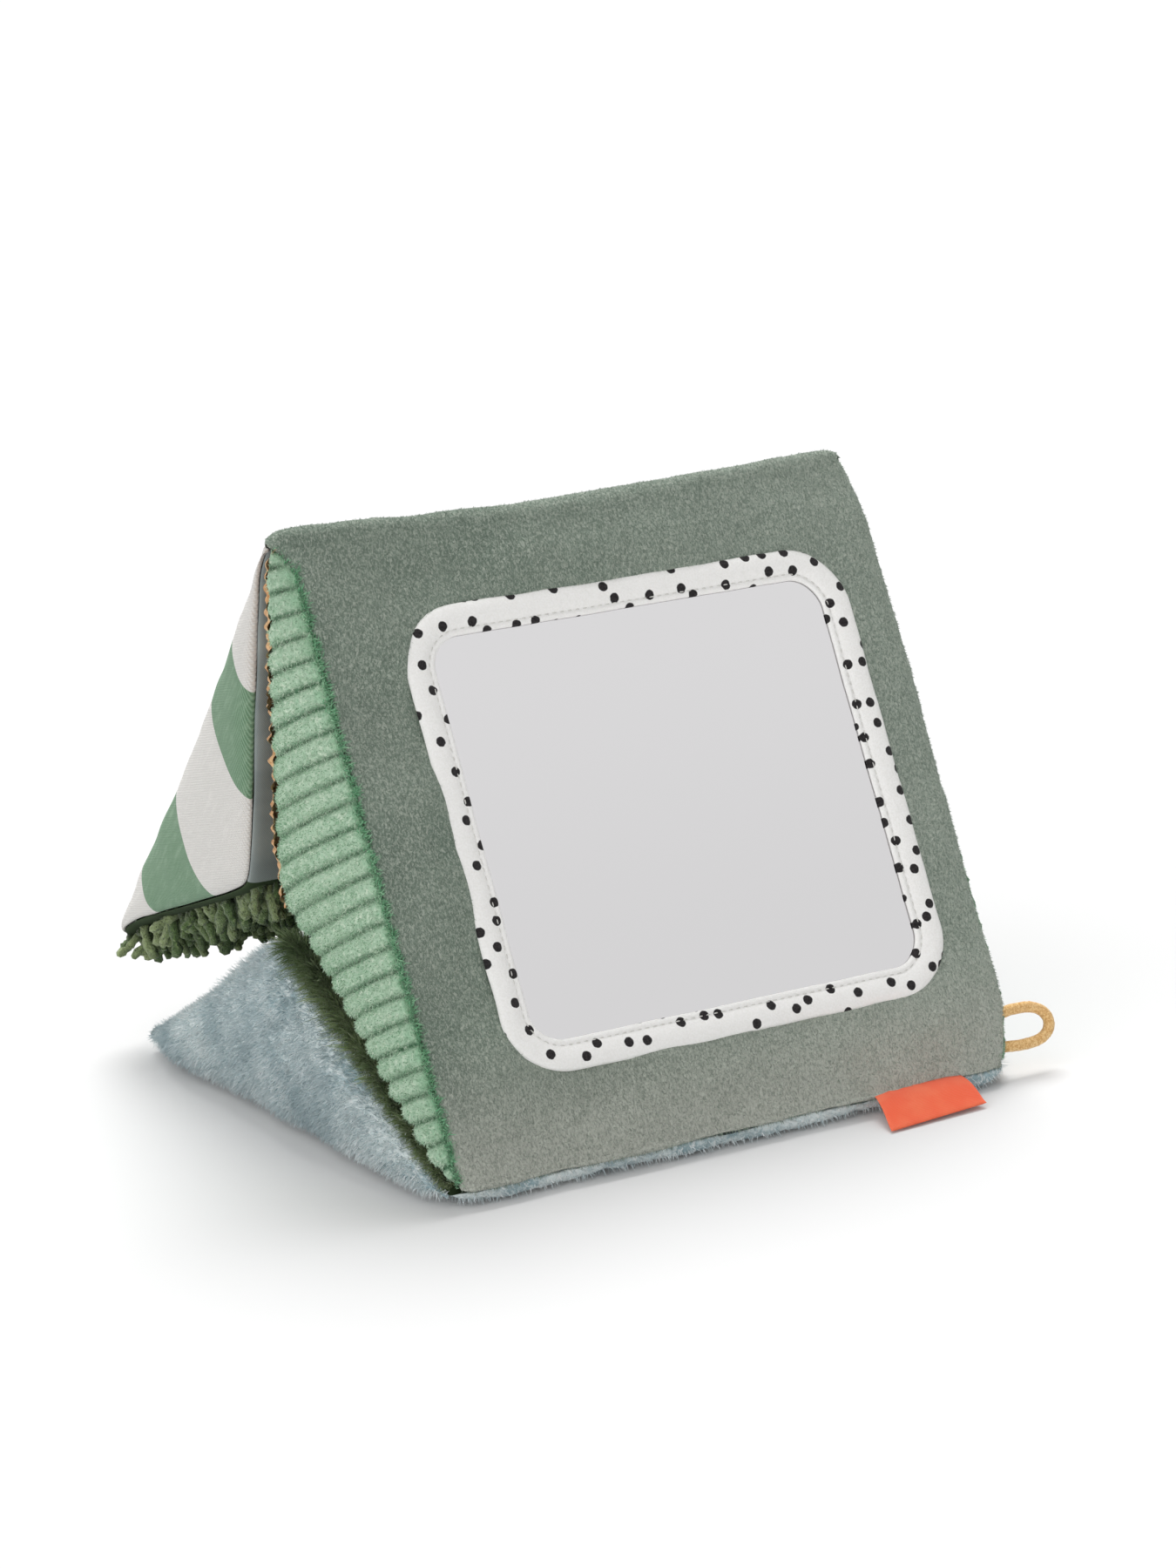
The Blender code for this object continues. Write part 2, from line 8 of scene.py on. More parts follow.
import bpy
import numpy as np
from mathutils import Matrix, Vector, noise


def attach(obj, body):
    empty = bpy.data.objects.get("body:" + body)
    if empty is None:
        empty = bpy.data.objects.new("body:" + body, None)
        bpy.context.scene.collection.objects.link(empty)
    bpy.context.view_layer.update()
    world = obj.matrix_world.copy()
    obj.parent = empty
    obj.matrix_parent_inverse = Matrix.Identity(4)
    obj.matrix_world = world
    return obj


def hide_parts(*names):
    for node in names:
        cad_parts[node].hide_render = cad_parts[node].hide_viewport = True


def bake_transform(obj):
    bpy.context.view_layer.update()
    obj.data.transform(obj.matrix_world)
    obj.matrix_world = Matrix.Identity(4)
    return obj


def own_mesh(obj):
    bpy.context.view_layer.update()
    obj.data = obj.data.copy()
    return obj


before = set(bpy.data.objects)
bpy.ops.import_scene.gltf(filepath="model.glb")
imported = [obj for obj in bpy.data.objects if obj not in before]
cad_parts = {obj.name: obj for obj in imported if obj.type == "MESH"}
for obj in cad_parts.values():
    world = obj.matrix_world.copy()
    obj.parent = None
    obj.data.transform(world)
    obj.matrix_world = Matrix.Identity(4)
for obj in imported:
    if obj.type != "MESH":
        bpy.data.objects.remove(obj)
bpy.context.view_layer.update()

PITCH = 0.213  # from hinge line to hinge line
HALF_LENGTH = 0.10625
SLOPE = math.radians(30)
RISE = math.tan(SLOPE)
FRONT_LEAN = math.radians(64.2)
APEX_ANGLE = math.radians(67.5)
HINGE_HEIGHT = 0.006
RIDGE_U = PITCH / 2
ROLL_RADIUS = 0.0025
SKIN = 0.0029  # from the hinge lines' plane to the cloth outside it
INNER_INSET = 0.0012  # of the inner faces' cloth under the wedge's sharp shape
RIDGE_SOFT = 0.006  # how widely the ridge between two inner faces is rounded
FOLD_REACH = 0.005  # along each face, from a hinge line to the end of its fold
TIP_REACH = 0.0004  # along each face, from a free edge to where its rounding starts
TIP_LIFT, TIP_SPAN = SKIN / math.cos(SLOPE) + INNER_INSET, 0.030  # how the inner face fills out towards a free edge
EDGE_WRAP, EDGE_SUNK, EDGE_SPAN = 0.0070, 0.0027, 0.013  # of a face's rounded corners beside its long edges
INNER_WRAP, INNER_SUNK = 0.0034, 0.0012  # of the inner faces' sides
DOME_OUTER = 0.78  # how squarely an end swells from its outer seam
END_START = 0.0020  # from a hinge line to where the cloth of an end begins
FLOOR_GAP = 0.0001  # under everything, so that no hair cuts the floor

RIB_PITCH = PITCH / 27
RIB_HEIGHT = 0.0036
FLOOR_HINGE = Vector((0, -RIDGE_U, HINGE_HEIGHT))
APEX_HINGE = FLOOR_HINGE + PITCH * Vector((0, math.cos(FRONT_LEAN), math.sin(FRONT_LEAN)))

FRAME_WIDTH, FRAME_HEIGHT, FRAME_CORNER = 0.1655, 0.1530, 0.0205
FRAME_X, FRAME_U = 0.0095, RIDGE_U + 0.0006
MIRROR_INSET = 0.005
STITCH_INSET = 0.0074
VELOUR_HAIRS = (1.7e6, 0.0010, 0.00028)  # how many to the square metre, how long and how wide
CORDUROY_HAIRS = (3.0e6, 0.0012, 0.0004)
SEAM_TUFTS = 5200


def placed(hinge, angle, first_u):
    return Matrix.Translation(hinge) @ Matrix.Rotation(angle, 4, "X") @ Matrix.Translation((0, first_u, 0))


BASE = placed(FLOOR_HINGE, 0.0, 0.0)
FRONT = placed(FLOOR_HINGE, FRONT_LEAN + math.pi, -PITCH)
BACK = placed(APEX_HINGE, FRONT_LEAN + APEX_ANGLE, -PITCH)


def direction(angle):
    """The way that makes this angle with +y, towards +z, as its y and z."""
    return np.array([math.cos(angle), math.sin(angle)])


def bend_across(first, second, hinge, way, reach):
    """Two bodies, and two points this far to each side of a hinge line."""
    step = Vector((0, *direction(way))) * reach
    return first, second, tuple(hinge - step), tuple(hinge + step)


FRONT_OUT = FRONT_LEAN + math.pi / 2
BACK_OUT = FRONT_OUT - (math.pi - APEX_ANGLE)
BENDS = {
    "floor_fold": bend_across("base", "front", FLOOR_HINGE, FRONT_LEAN / 2 + math.pi / 2, 0.0024),
    "apex_fold": bend_across("front", "back", APEX_HINGE, (FRONT_OUT + BACK_OUT) / 2 - math.pi / 2, 0.0027),
}


# ---- materials ----

def linear(r, g, b):
    """An 8-bit display colour as the linear colour that nodes take."""
    parts = [c / 255 for c in (r, g, b)]
    return tuple(p / 12.92 if p <= 0.04045 else ((p + 0.055) / 1.055) ** 2.4 for p in parts) + (1.0,)


class Tree:
    """Short calls for a node tree."""

    def __init__(self, owner):
        owner.use_nodes = True
        self.tree = owner.node_tree

    def add(self, kind, inputs=(), **settings):
        node = self.tree.nodes.new(kind)
        for key, value in settings.items():
            setattr(node, key, value)
        for key, value in dict(inputs).items():
            self.put(node.inputs[key], value)
        return node

    def put(self, socket, value):
        """Gives an input another node's output, an 8-bit display colour in three numbers, or a plain value."""
        if isinstance(value, bpy.types.NodeSocket):
            self.tree.links.new(value, socket)
        else:
            socket.default_value = linear(*value) if socket.type == "RGBA" and len(value) == 3 else value

    def math(self, operation, a, b=0.0):
        return self.add("ShaderNodeMath", {0: a, 1: b}, operation=operation).outputs[0]


class Nodes(Tree):
    """A material's node tree. Its places are the row frame's, or a wedge's where one is given."""

    def __init__(self, name, wedge=None):
        self.material = bpy.data.materials.new(name)
        super().__init__(self.material)
        self.shader = self.tree.nodes["Principled BSDF"]
        self.place = self.tree.nodes.new("ShaderNodeTexCoord").outputs["Object"]
        if wedge is not None:
            back = wedge.inverted()
            turn = {"Vector": self.place, "Location": back.translation, "Rotation": back.to_euler()}
            self.place = self.add("ShaderNodeMapping", turn).outputs[0]

    def noise(self, scale, detail=2.0, roughness=0.5, stretch=(1, 1, 1), distortion=0.0):
        """A smooth noise from 0 to 1, scale being its cycles in a metre."""
        at = self.add("ShaderNodeMapping", {"Vector": self.place, "Scale": stretch}).outputs[0]
        values = {"Vector": at, "Scale": scale, "Detail": detail, "Roughness": roughness, "Distortion": distortion}
        return self.add("ShaderNodeTexNoise", values).outputs["Fac"]

    def wobble(self, scale, detail, amount):
        """A noise round 0, this much from its lowest to its highest."""
        return self.math("MULTIPLY", self.math("SUBTRACT", self.noise(scale, detail), 0.5), amount)

    def cells(self, scale, dimensions="3D", randomness=1.0):
        made = self.add("ShaderNodeTexVoronoi", voronoi_dimensions=dimensions)
        for key, value in {"Vector": self.place, "Scale": scale, "Randomness": randomness}.items():
            self.put(made.inputs[key], value)
        return made.outputs["Distance"]

    def plus(self, a, b, times):
        return self.math("ADD", a, self.math("MULTIPLY", b, times))

    def wave(self, value, rate):
        return self.math("SINE", self.math("MULTIPLY", value, rate))

    def spread(self, value, low, high, to_high=1.0):
        """Eases from 0 to the last number as the value goes from low to high."""
        values = {"Value": value, "From Min": low, "From Max": high, "To Min": 0.0, "To Max": to_high}
        return self.add("ShaderNodeMapRange", values, interpolation_type="SMOOTHSTEP").outputs["Result"]

    def mix(self, share, a, b):
        made = self.add("ShaderNodeMix", data_type="RGBA")
        for socket, value in zip((0, 6, 7), (share, a, b)):
            self.put(made.inputs[socket], value)
        return made.outputs[2]

    def layers(self, colour, *layers):
        """A colour with others over it: each comes in to its amount as its value goes from low to high."""
        for value, low, high, amount, other in layers:
            colour = self.mix(self.spread(value, low, high, amount), colour, other)
        return colour

    def axes(self):
        return self.add("ShaderNodeSeparateXYZ", {0: self.place}).outputs

    def bump(self, height, distance, strength=1.0):
        values = {"Height": height, "Distance": distance, "Strength": strength}
        return self.add("ShaderNodeBump", values).outputs["Normal"]

    def finish(self, colour, shown, roughness=0.95, normal=None, sheen=0.0, sheen_roughness=0.5, tint=None,
               specular=0.2, metallic=0.0):
        """The finished material: shown is its plain colour where nodes aren't drawn."""
        self.material.diffuse_color = self.shader.inputs["Base Color"].default_value = linear(*shown)
        values = {
            "Base Color": colour, "Roughness": roughness, "Specular IOR Level": specular, "Metallic": metallic,
            "Sheen Weight": sheen, "Sheen Roughness": sheen_roughness, "Sheen Tint": tint, "Normal": normal,
        }
        for key, value in values.items():
            if value is not None:
                self.put(self.shader.inputs[key], value)
        return self.material


def velour_material():
    n = Nodes("sage_velour")
    patches = n.noise(20, 3, 0.55)
    speckle = n.noise(1500, 3, 0.7, stretch=(1, 0.6, 0.6), distortion=0.8)
    grain = n.noise(420, 2, 0.6, stretch=(1, 0.8, 1))
    x, y, z = n.axes()
    mid = (139, 154, 140)
    # Painted light: the velour is lighter towards its right end (x) and towards the floor (z), where more light falls
    # on it.
    colour = n.layers(
        (115, 133, 119), (patches, 0.35, 0.65, 1.0, mid), (x, -0.07, 0.11, 0.7, (168, 179, 167)),
        (z, 0.055, 0.004, 0.75, (212, 211, 202)), (speckle, 0.44, 0.68, 0.7, (202, 208, 196)))
    # Painted highlights and painted shade in the pile: light flecks where the speckle is high (above), and a darker
    # copy of the colour where it is low.
    colour = n.layers(colour, (speckle, 0.54, 0.34, 1.0, n.mix(0.5, colour, (92, 108, 96))))
    normal = n.bump(n.plus(speckle, grain, 0.35), 0.0012, 0.9)
    return n.finish(colour, mid, normal=normal, sheen=0.25, sheen_roughness=0.45, tint=(215, 222, 212))


def plush_material():
    n = Nodes("blue_plush")
    patches = n.noise(42, 3, 0.6, stretch=(1, 0.6, 1))
    streaks = n.noise(420, 3, 0.65, stretch=(1.3, 0.35, 1.3), distortion=0.8)
    mid = (226, 236, 236)
    colour = n.layers(
        (158, 182, 188), (patches, 0.40, 0.56, 1.0, mid), (streaks, 0.45, 0.68, 0.8, (246, 250, 249)),
        (streaks, 0.45, 0.28, 0.5, (150, 172, 178)))
    return n.finish(colour, mid, normal=n.bump(streaks, 0.0018, 0.8), sheen=0.2, tint=(225, 232, 234))


def corduroy_material():
    n = Nodes("mint_corduroy", FRONT)
    tufts = n.noise(620, 3, 0.7, distortion=0.5)
    patches = n.noise(45, 2, 0.5)
    lines = n.noise(300, 1, 0.5, stretch=(1, 0.15, 3.2))
    x, u, h = n.axes()
    # Painted shade: the corduroy is darker in the valleys between its ribs and lighter on their crests.
    crest = n.math("ABSOLUTE", n.wave(u, math.pi / RIB_PITCH))
    mid = (172, 202, 175)
    colour = n.layers(
        (84, 122, 94), (crest, 0.0, 0.7, 1.0, mid), (tufts, 0.48, 0.68, 0.8, (220, 234, 214)),
        (tufts, 0.42, 0.28, 0.6, (104, 156, 120)), (patches, 0.35, 0.7, 0.35, (190, 212, 188)),
        (h, 0.0005, -0.0030, 0.4, (120, 182, 138)))
    normal = n.bump(n.plus(tufts, lines, 0.6), 0.0012, 0.8)
    return n.finish(colour, mid, normal=normal, sheen=0.2, sheen_roughness=0.45, tint=(220, 235, 220))


def boucle_material():
    n = Nodes("ochre_boucle")
    loops = n.noise(650, 3, 0.7, distortion=1.5)
    nubs = n.cells(270)
    colour = n.layers(
        (250, 206, 150), (nubs, 0.15, 0.75, 1.0, (214, 152, 90)), (loops, 0.45, 0.7, 0.6, (252, 222, 174)),
        (loops, 0.42, 0.2, 0.6, (184, 122, 64)))
    return n.finish(colour, (222, 164, 98), normal=n.bump(n.plus(loops, nubs, -0.6), 0.0014, 0.9), sheen=0.25)


def satin_material():
    n = Nodes("slate_satin", BACK)
    x, u, h = n.axes()
    weave = n.wave(n.math("ADD", x, u), 9000)
    folds = n.noise(60, 2, 0.5, stretch=(0.35, 1, 1))
    colour = n.layers(
        (112, 122, 122), (folds, 0.3, 0.7, 1.0, (140, 149, 147)), (weave, -1, 1, 0.18, (172, 182, 180)))
    n.shader.inputs["Anisotropic"].default_value = 0.4
    return n.finish(colour, (105, 118, 122), 0.42, n.bump(n.plus(folds, weave, 0.03), 0.002, 0.5), specular=0.45)


GREEN_STRIPES = ((0.0463, 0.0792), (0.1305, 0.1725))  # from the apex down
STRIPE_EDGE = 0.00015


def stripe_material():
    n = Nodes("striped_twill", BACK)
    x, u, h = n.axes()
    at = n.math("ADD", n.math("SUBTRACT", PITCH, u), n.wobble(60, 1, 0.0012))
    stripes = [
        n.math("MULTIPLY", n.spread(at, first - STRIPE_EDGE, first + STRIPE_EDGE),
               n.spread(at, last + STRIPE_EDGE, last - STRIPE_EDGE))
        for first, last in GREEN_STRIPES]
    twill = n.wave(n.plus(u, h, 0.7), 5600)
    cross = n.wave(n.plus(h, u, -0.7), 6500)
    slub = n.noise(500, 2, 0.6, stretch=(1, 0.2, 1))
    greens = n.layers(
        (98, 130, 103), (twill, -1, 1, 1.0, (130, 160, 133)), (slub, 0.45, 0.75, 0.4, (152, 178, 153)))
    whites = n.layers(
        (222, 220, 216), (cross, -1, 1, 0.35, (200, 197, 193)), (slub, 0.5, 0.8, 0.5, (232, 230, 226)))
    normal = n.bump(n.plus(n.plus(slub, cross, 0.2), twill, 0.35), 0.0004, 0.6)
    return n.finish(n.mix(n.math("MAXIMUM", *stripes), whites, greens), (190, 198, 188), 0.85, normal, sheen=0.1)


def pile_material(name, root, mid, tip, shade, grown=0.8, bare=0.0, sheen=0.3, patch=35, fluff_and_shade=False):
    """For strands: darker towards the root, which is painted shade deep in the pile, with strand-to-strand and patch
    variation.
    """
    n = Nodes(name)
    depth, tone = (n.add("ShaderNodeAttribute", attribute_name=key).outputs["Fac"] for key in ("along", "tone"))
    # Painted shade: from the root colour at the foot of each strand to the mid colour further out.
    colour = n.layers(
        root, (depth, bare, grown, 1.0, mid), (tone, 0.35, 1.0, 0.85, tip),
        (n.noise(patch, 2), 0.35, 0.68, 0.5, shade))
    if not fluff_and_shade:
        return n.finish(colour, mid, 0.9, sheen=sheen, sheen_roughness=0.4)
    # The fine fibre noise bumps the strands and also paints shade in its dips and light on its rises.
    fibres = n.noise(900, 3, 0.7, distortion=1.0)
    colour = n.layers(colour, (fibres, 0.5, 0.3, 0.75, root), (fibres, 0.55, 0.72, 0.8, tip))
    return n.finish(colour, mid, normal=n.bump(fibres, 0.0016), sheen=sheen, sheen_roughness=0.4)


def foam_material():
    n = Nodes("foam")
    pores = n.cells(900)
    colour = n.layers((206, 200, 180), (pores, 0.1, 0.6, 1.0, (232, 228, 212)))
    return n.finish(colour, (225, 220, 204), normal=n.bump(pores, 0.0006))


def board_material():
    n = Nodes("backing_board")
    fibres = n.noise(700, 3, 0.7, stretch=(0.3, 1, 1))
    colour = n.mix(fibres, (160, 158, 152), (196, 194, 188))
    return n.finish(colour, (180, 178, 172), 0.85, n.bump(fibres, 0.0003))


def mirror_material():
    n = Nodes("mirror_film", FRONT)
    x, u, h = n.axes()
    # Painted reflection: the film's colour darkens slightly from the top of the frame towards the floor.
    colour = n.layers((217, 216, 217), (u, 0.04, 0.17, 1.0, (212, 211, 212)))
    normal = n.bump(n.noise(14, 1, 0.4), 0.0004, 0.25)
    return n.finish(colour, (213, 212, 213), 0.06, normal, specular=0.5, metallic=1.0)


def dotted_material():
    n = Nodes("dotted_cotton", FRONT)
    spots = n.cells(1 / 0.0088, "2D", 0.75)
    dark = n.spread(n.math("ADD", spots, n.wobble(900, 2, 0.05)), 0.205, 0.175)
    weave = n.noise(1500, 2, 0.6)
    white = n.layers((246, 245, 242), (weave, 0.3, 0.7, 1.0, (253, 252, 250)))
    black = n.layers((30, 28, 29), (weave, 0.3, 0.7, 1.0, (52, 49, 50)))
    normal = n.bump(n.plus(weave, n.noise(260, 2, 0.5), 2.0), 0.0003, 0.6)
    return n.finish(n.mix(dark, white, black), (238, 237, 234), 0.8, normal, sheen=0.05)


def thread_material():
    n = Nodes("white_thread")
    twist = n.noise(2500, 1, 0.5)
    return n.finish(n.mix(twist, (206, 205, 200), (236, 235, 230)), (225, 224, 220), 0.7, n.bump(twist, 0.0001))


def tag_material():
    n = Nodes("orange_tag")
    x, y, z = n.axes()
    colour = n.layers((252, 104, 66), (n.noise(120, 2), 0.3, 0.7, 1.0, (255, 120, 80)))
    normal = n.bump(n.math("ADD", n.wave(x, 16000), n.wave(y, 12000)), 0.0001, 0.5)
    return n.finish(colour, (250, 105, 70), 0.6, normal, sheen=0.15, specular=0.3)


def cord_material():
    n = Nodes("ochre_cord")
    strands = n.noise(1300, 2, 0.6, distortion=1.0)
    colour = n.layers((214, 162, 96), (strands, 0.35, 0.65, 1.0, (248, 212, 152)))
    return n.finish(colour, (226, 182, 118), 0.6, n.bump(strands, 0.0004, 0.7), sheen=0.2, specular=0.3)


# Painted shade: the ground under the fur and the chenille takes a near-black olive root colour, standing for the shade
# deep in the pile.
GROUND = pile_material("olive_ground", (44, 58, 36), (62, 78, 50), (84, 98, 66), (54, 70, 44), grown=1.0, sheen=0.0)
LOOKS = {  # each look's material and slot
    "velour": (velour_material(), "sage_velour"),
    "plush": (plush_material(), "blue_plush"),
    "corduroy": (corduroy_material(), "mint_corduroy"),
    "boucle": (boucle_material(), "ochre_boucle"),
    "satin": (satin_material(), "slate_satin"),
    "stripe": (stripe_material(), "striped_twill"),
    "foam": (foam_material(), "foam"),
    "dotted": (dotted_material(), "dotted_cotton"),
    "thread": (thread_material(), "dotted_cotton"),
    "tag": (tag_material(), "orange_tag"),
    "cord": (cord_material(), "ochre_cord"),
    "fur_ground": (GROUND, "olive_fur"),
    "chenille_ground": (GROUND, "green_chenille"),
    "velour_pile": (pile_material(
        "sage_velour_pile", (112, 128, 114), (142, 157, 143), (194, 202, 190), (124, 141, 128)), "sage_velour"),
    "plush_pile": (pile_material(
        "blue_plush_pile", (196, 212, 215), (224, 233, 234), (248, 250, 250), (150, 174, 181), patch=42), "blue_plush"),
    "corduroy_pile": (pile_material(
        "mint_pile", (108, 152, 120), (174, 205, 177), (222, 236, 217), (132, 178, 144)), "mint_corduroy"),
    "corduroy_tufts": (pile_material(
        "mint_tufts", (92, 150, 110), (132, 190, 150), (184, 226, 190), (112, 174, 130)), "mint_corduroy"),
    "fur": (pile_material(
        "olive_fur", (70, 86, 56), (132, 150, 108), (184, 194, 156), (84, 112, 70), 0.5, sheen=0.15), "olive_fur"),
    "chenille": (pile_material(
        "green_chenille", (30, 42, 22), (108, 132, 82), (184, 200, 146), (74, 102, 58), 0.6, 0.05, fluff_and_shade=True),
        "green_chenille"),
}


# ---- mesh tools ----

def new_piece(name, points, faces, place, look, body, node=None, shading=None, strands=()):
    """A mesh given in a wedge's frame, or in the row frame without a place, as a piece of the object. Strands also
    have their share along and their tone."""
    points = np.asarray(points, float).reshape(-1, 3)
    if place is not None:
        turn = np.array(place.to_3x3())
        points = points @ turn.T + np.array(place.translation)
    points[:, 2] = np.maximum(points[:, 2], FLOOR_GAP)
    mesh = bpy.data.meshes.new(name)
    mesh.from_pydata(points.tolist(), [], faces.tolist() if isinstance(faces, np.ndarray) else faces)
    mesh.polygons.foreach_set("use_smooth", [True] * len(mesh.polygons))
    mesh.update()
    if shading is not None:
        mesh.normals_split_custom_set_from_vertices(shading.reshape(-1, 3).tolist())
    material, slot = LOOKS[look]
    mesh.materials.append(material)
    made = bpy.data.objects.new(name, mesh)
    bpy.context.scene.collection.objects.link(made)
    if body in BENDS:
        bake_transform(made)
    else:
        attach(made, body)
    if node is not None:
        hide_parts(node)
    for key, values in zip(("along", "tone"), strands):
        mesh.attributes.new(key, "FLOAT", "POINT").data.foreach_set("value", np.asarray(values, np.float32))
    return made


def field(points, scale, seed=0.0):
    """Smooth noise from about -1 to 1 at each point of an array, scale being its cycles in a metre."""
    flat = points.reshape(-1, 3)
    total, gain = np.zeros(len(flat)), 1.0
    for octave in range(2):
        at = flat * (scale * 2**octave) + seed + 7.3 * octave
        total += gain * np.array([noise.noise(Vector(p)) for p in at])
        gain *= 0.5
    return total.reshape(points.shape[:-1])


def smoothed(grid):
    """The grid with the sharp creases taken out of its inside."""
    grid = grid.copy()
    for _ in range(3):
        grid[1:-1] = (grid[:-2] + 2 * grid[1:-1] + grid[2:]) / 4
        grid[:, 1:-1] = (grid[:, :-2] + 2 * grid[:, 1:-1] + grid[:, 2:]) / 4
    return grid


def ease(value, low, high):
    t = np.clip((value - low) / (high - low), 0, 1)
    return t * t * (3 - 2 * t)


def unit(vectors):
    return vectors / np.maximum(np.linalg.norm(vectors, axis=-1), 1e-12)[..., None]


def sampled(grid, down, across):
    """The grid's values at these shares of its rows and columns, on smooth curves through its points."""
    def weights(count, share):
        at = np.clip(share, 0, 1) * (count - 1)
        first = np.minimum(at.astype(int), count - 2)
        f = at - first
        near = np.clip(first[:, None] + np.arange(-1, 3), 0, count - 1)
        parts = [
            -f**3 / 2 + f**2 - f / 2, 1.5 * f**3 - 2.5 * f**2 + 1, -1.5 * f**3 + 2 * f**2 + f / 2, f**3 / 2 - f**2 / 2]
        made = np.zeros((len(share), count))
        np.add.at(made, (np.arange(len(share))[:, None], near), np.stack(parts, 1))
        return made
    return np.einsum("ai,bj,ijc->abc", weights(grid.shape[0], down), weights(grid.shape[1], across), grid)


def grid_cross(grid, toward):
    """Unit normals of a grid of points, and 1 if its middle shows them to this direction or else -1."""
    cross = unit(np.cross(np.gradient(grid, axis=0), np.gradient(grid, axis=1)))
    middle = cross[grid.shape[0] // 2, grid.shape[1] // 2]
    return cross, 1 if middle @ np.asarray(toward, float) > 0 else -1


def grid_normals(grid, toward):
    cross, turn = grid_cross(grid, toward)
    return cross * turn


def quads_over(at):
    """Four corners a face, from a grid of point numbers."""
    return np.stack([at[:-1, :-1], at[1:, :-1], at[1:, 1:], at[:-1, 1:]], 2).reshape(-1, 4)


def grid_faces(grid, toward):
    """Quads over a grid of points, wound so that its middle faces this direction."""
    at = np.arange(grid[..., 0].size).reshape(grid.shape[:2])
    return quads_over(at)[:, ::grid_cross(grid, toward)[1]]


# ---- the wedges' shape ----

ALONG, BULGE_ROWS = 48, 8
CLOTH = dict(
    quality=6, mass=0.3, tension_stiffness=15, compression_stiffness=15, shear_stiffness=5, bending_stiffness=0.3,
    shrink_min=-0.02, use_pressure=True, uniform_pressure_force=4.0, vertex_group_mass="held")
CLOTH_STEPS = 20


def lattice():
    """The surface of a box of cells: its points' cell numbers, where each is kept, and the faces."""
    index = -np.ones((ALONG + 1, ALONG + 1, BULGE_ROWS + 1), int)
    surface = np.zeros_like(index, bool)
    surface[[0, -1]] = surface[:, [0, -1]] = surface[:, :, [0, -1]] = True
    keys = np.argwhere(surface)
    index[surface] = np.arange(len(keys))
    sides = (
        (index[:, :, 0], 1), (index[:, :, -1], -1), (index[:, 0], -1), (index[:, -1], 1), (index[0], 1),
        (index[-1], -1))
    return keys, index, np.concatenate([quads_over(side)[:, ::turn] for side, turn in sides])


KEYS, INDEX, FACES = lattice()


class Side:
    """Where a wedge's faces meet one of its ends. over and corners say how far past the half length the outer seam lies,
    in its middle and at the first and last long edge, and span how far in from those edges it settles. wrap and sunk
    are the outer face's rounding before that seam, across and down. inner_over says how far past the half length the
    inner seam lies, near and far, and bulge how far the end swells."""

    def __init__(self, over, corners, span, wrap, sunk, inner_over, bulge):
        self.over, self.corners, self.span, self.wrap, self.sunk = over, corners, span, wrap, sunk
        self.inner_over, self.bulge = inner_over, bulge

    def lines(self, u):
        """The outer seam's distance from the middle plane, and the face's rounding before it across and down."""
        first = (1 - np.clip(u / self.span, 0, 1)) ** 2
        last = (1 - np.clip((PITCH - u) / self.span, 0, 1)) ** 2
        reach = HALF_LENGTH + self.over + (self.corners[0] - self.over) * first + (self.corners[1] - self.over) * last
        share = ease(np.minimum(u, PITCH - u), 0.002, EDGE_SPAN)
        return reach, EDGE_WRAP + (self.wrap - EDGE_WRAP) * share, EDGE_SUNK + (self.sunk - EDGE_SUNK) * share


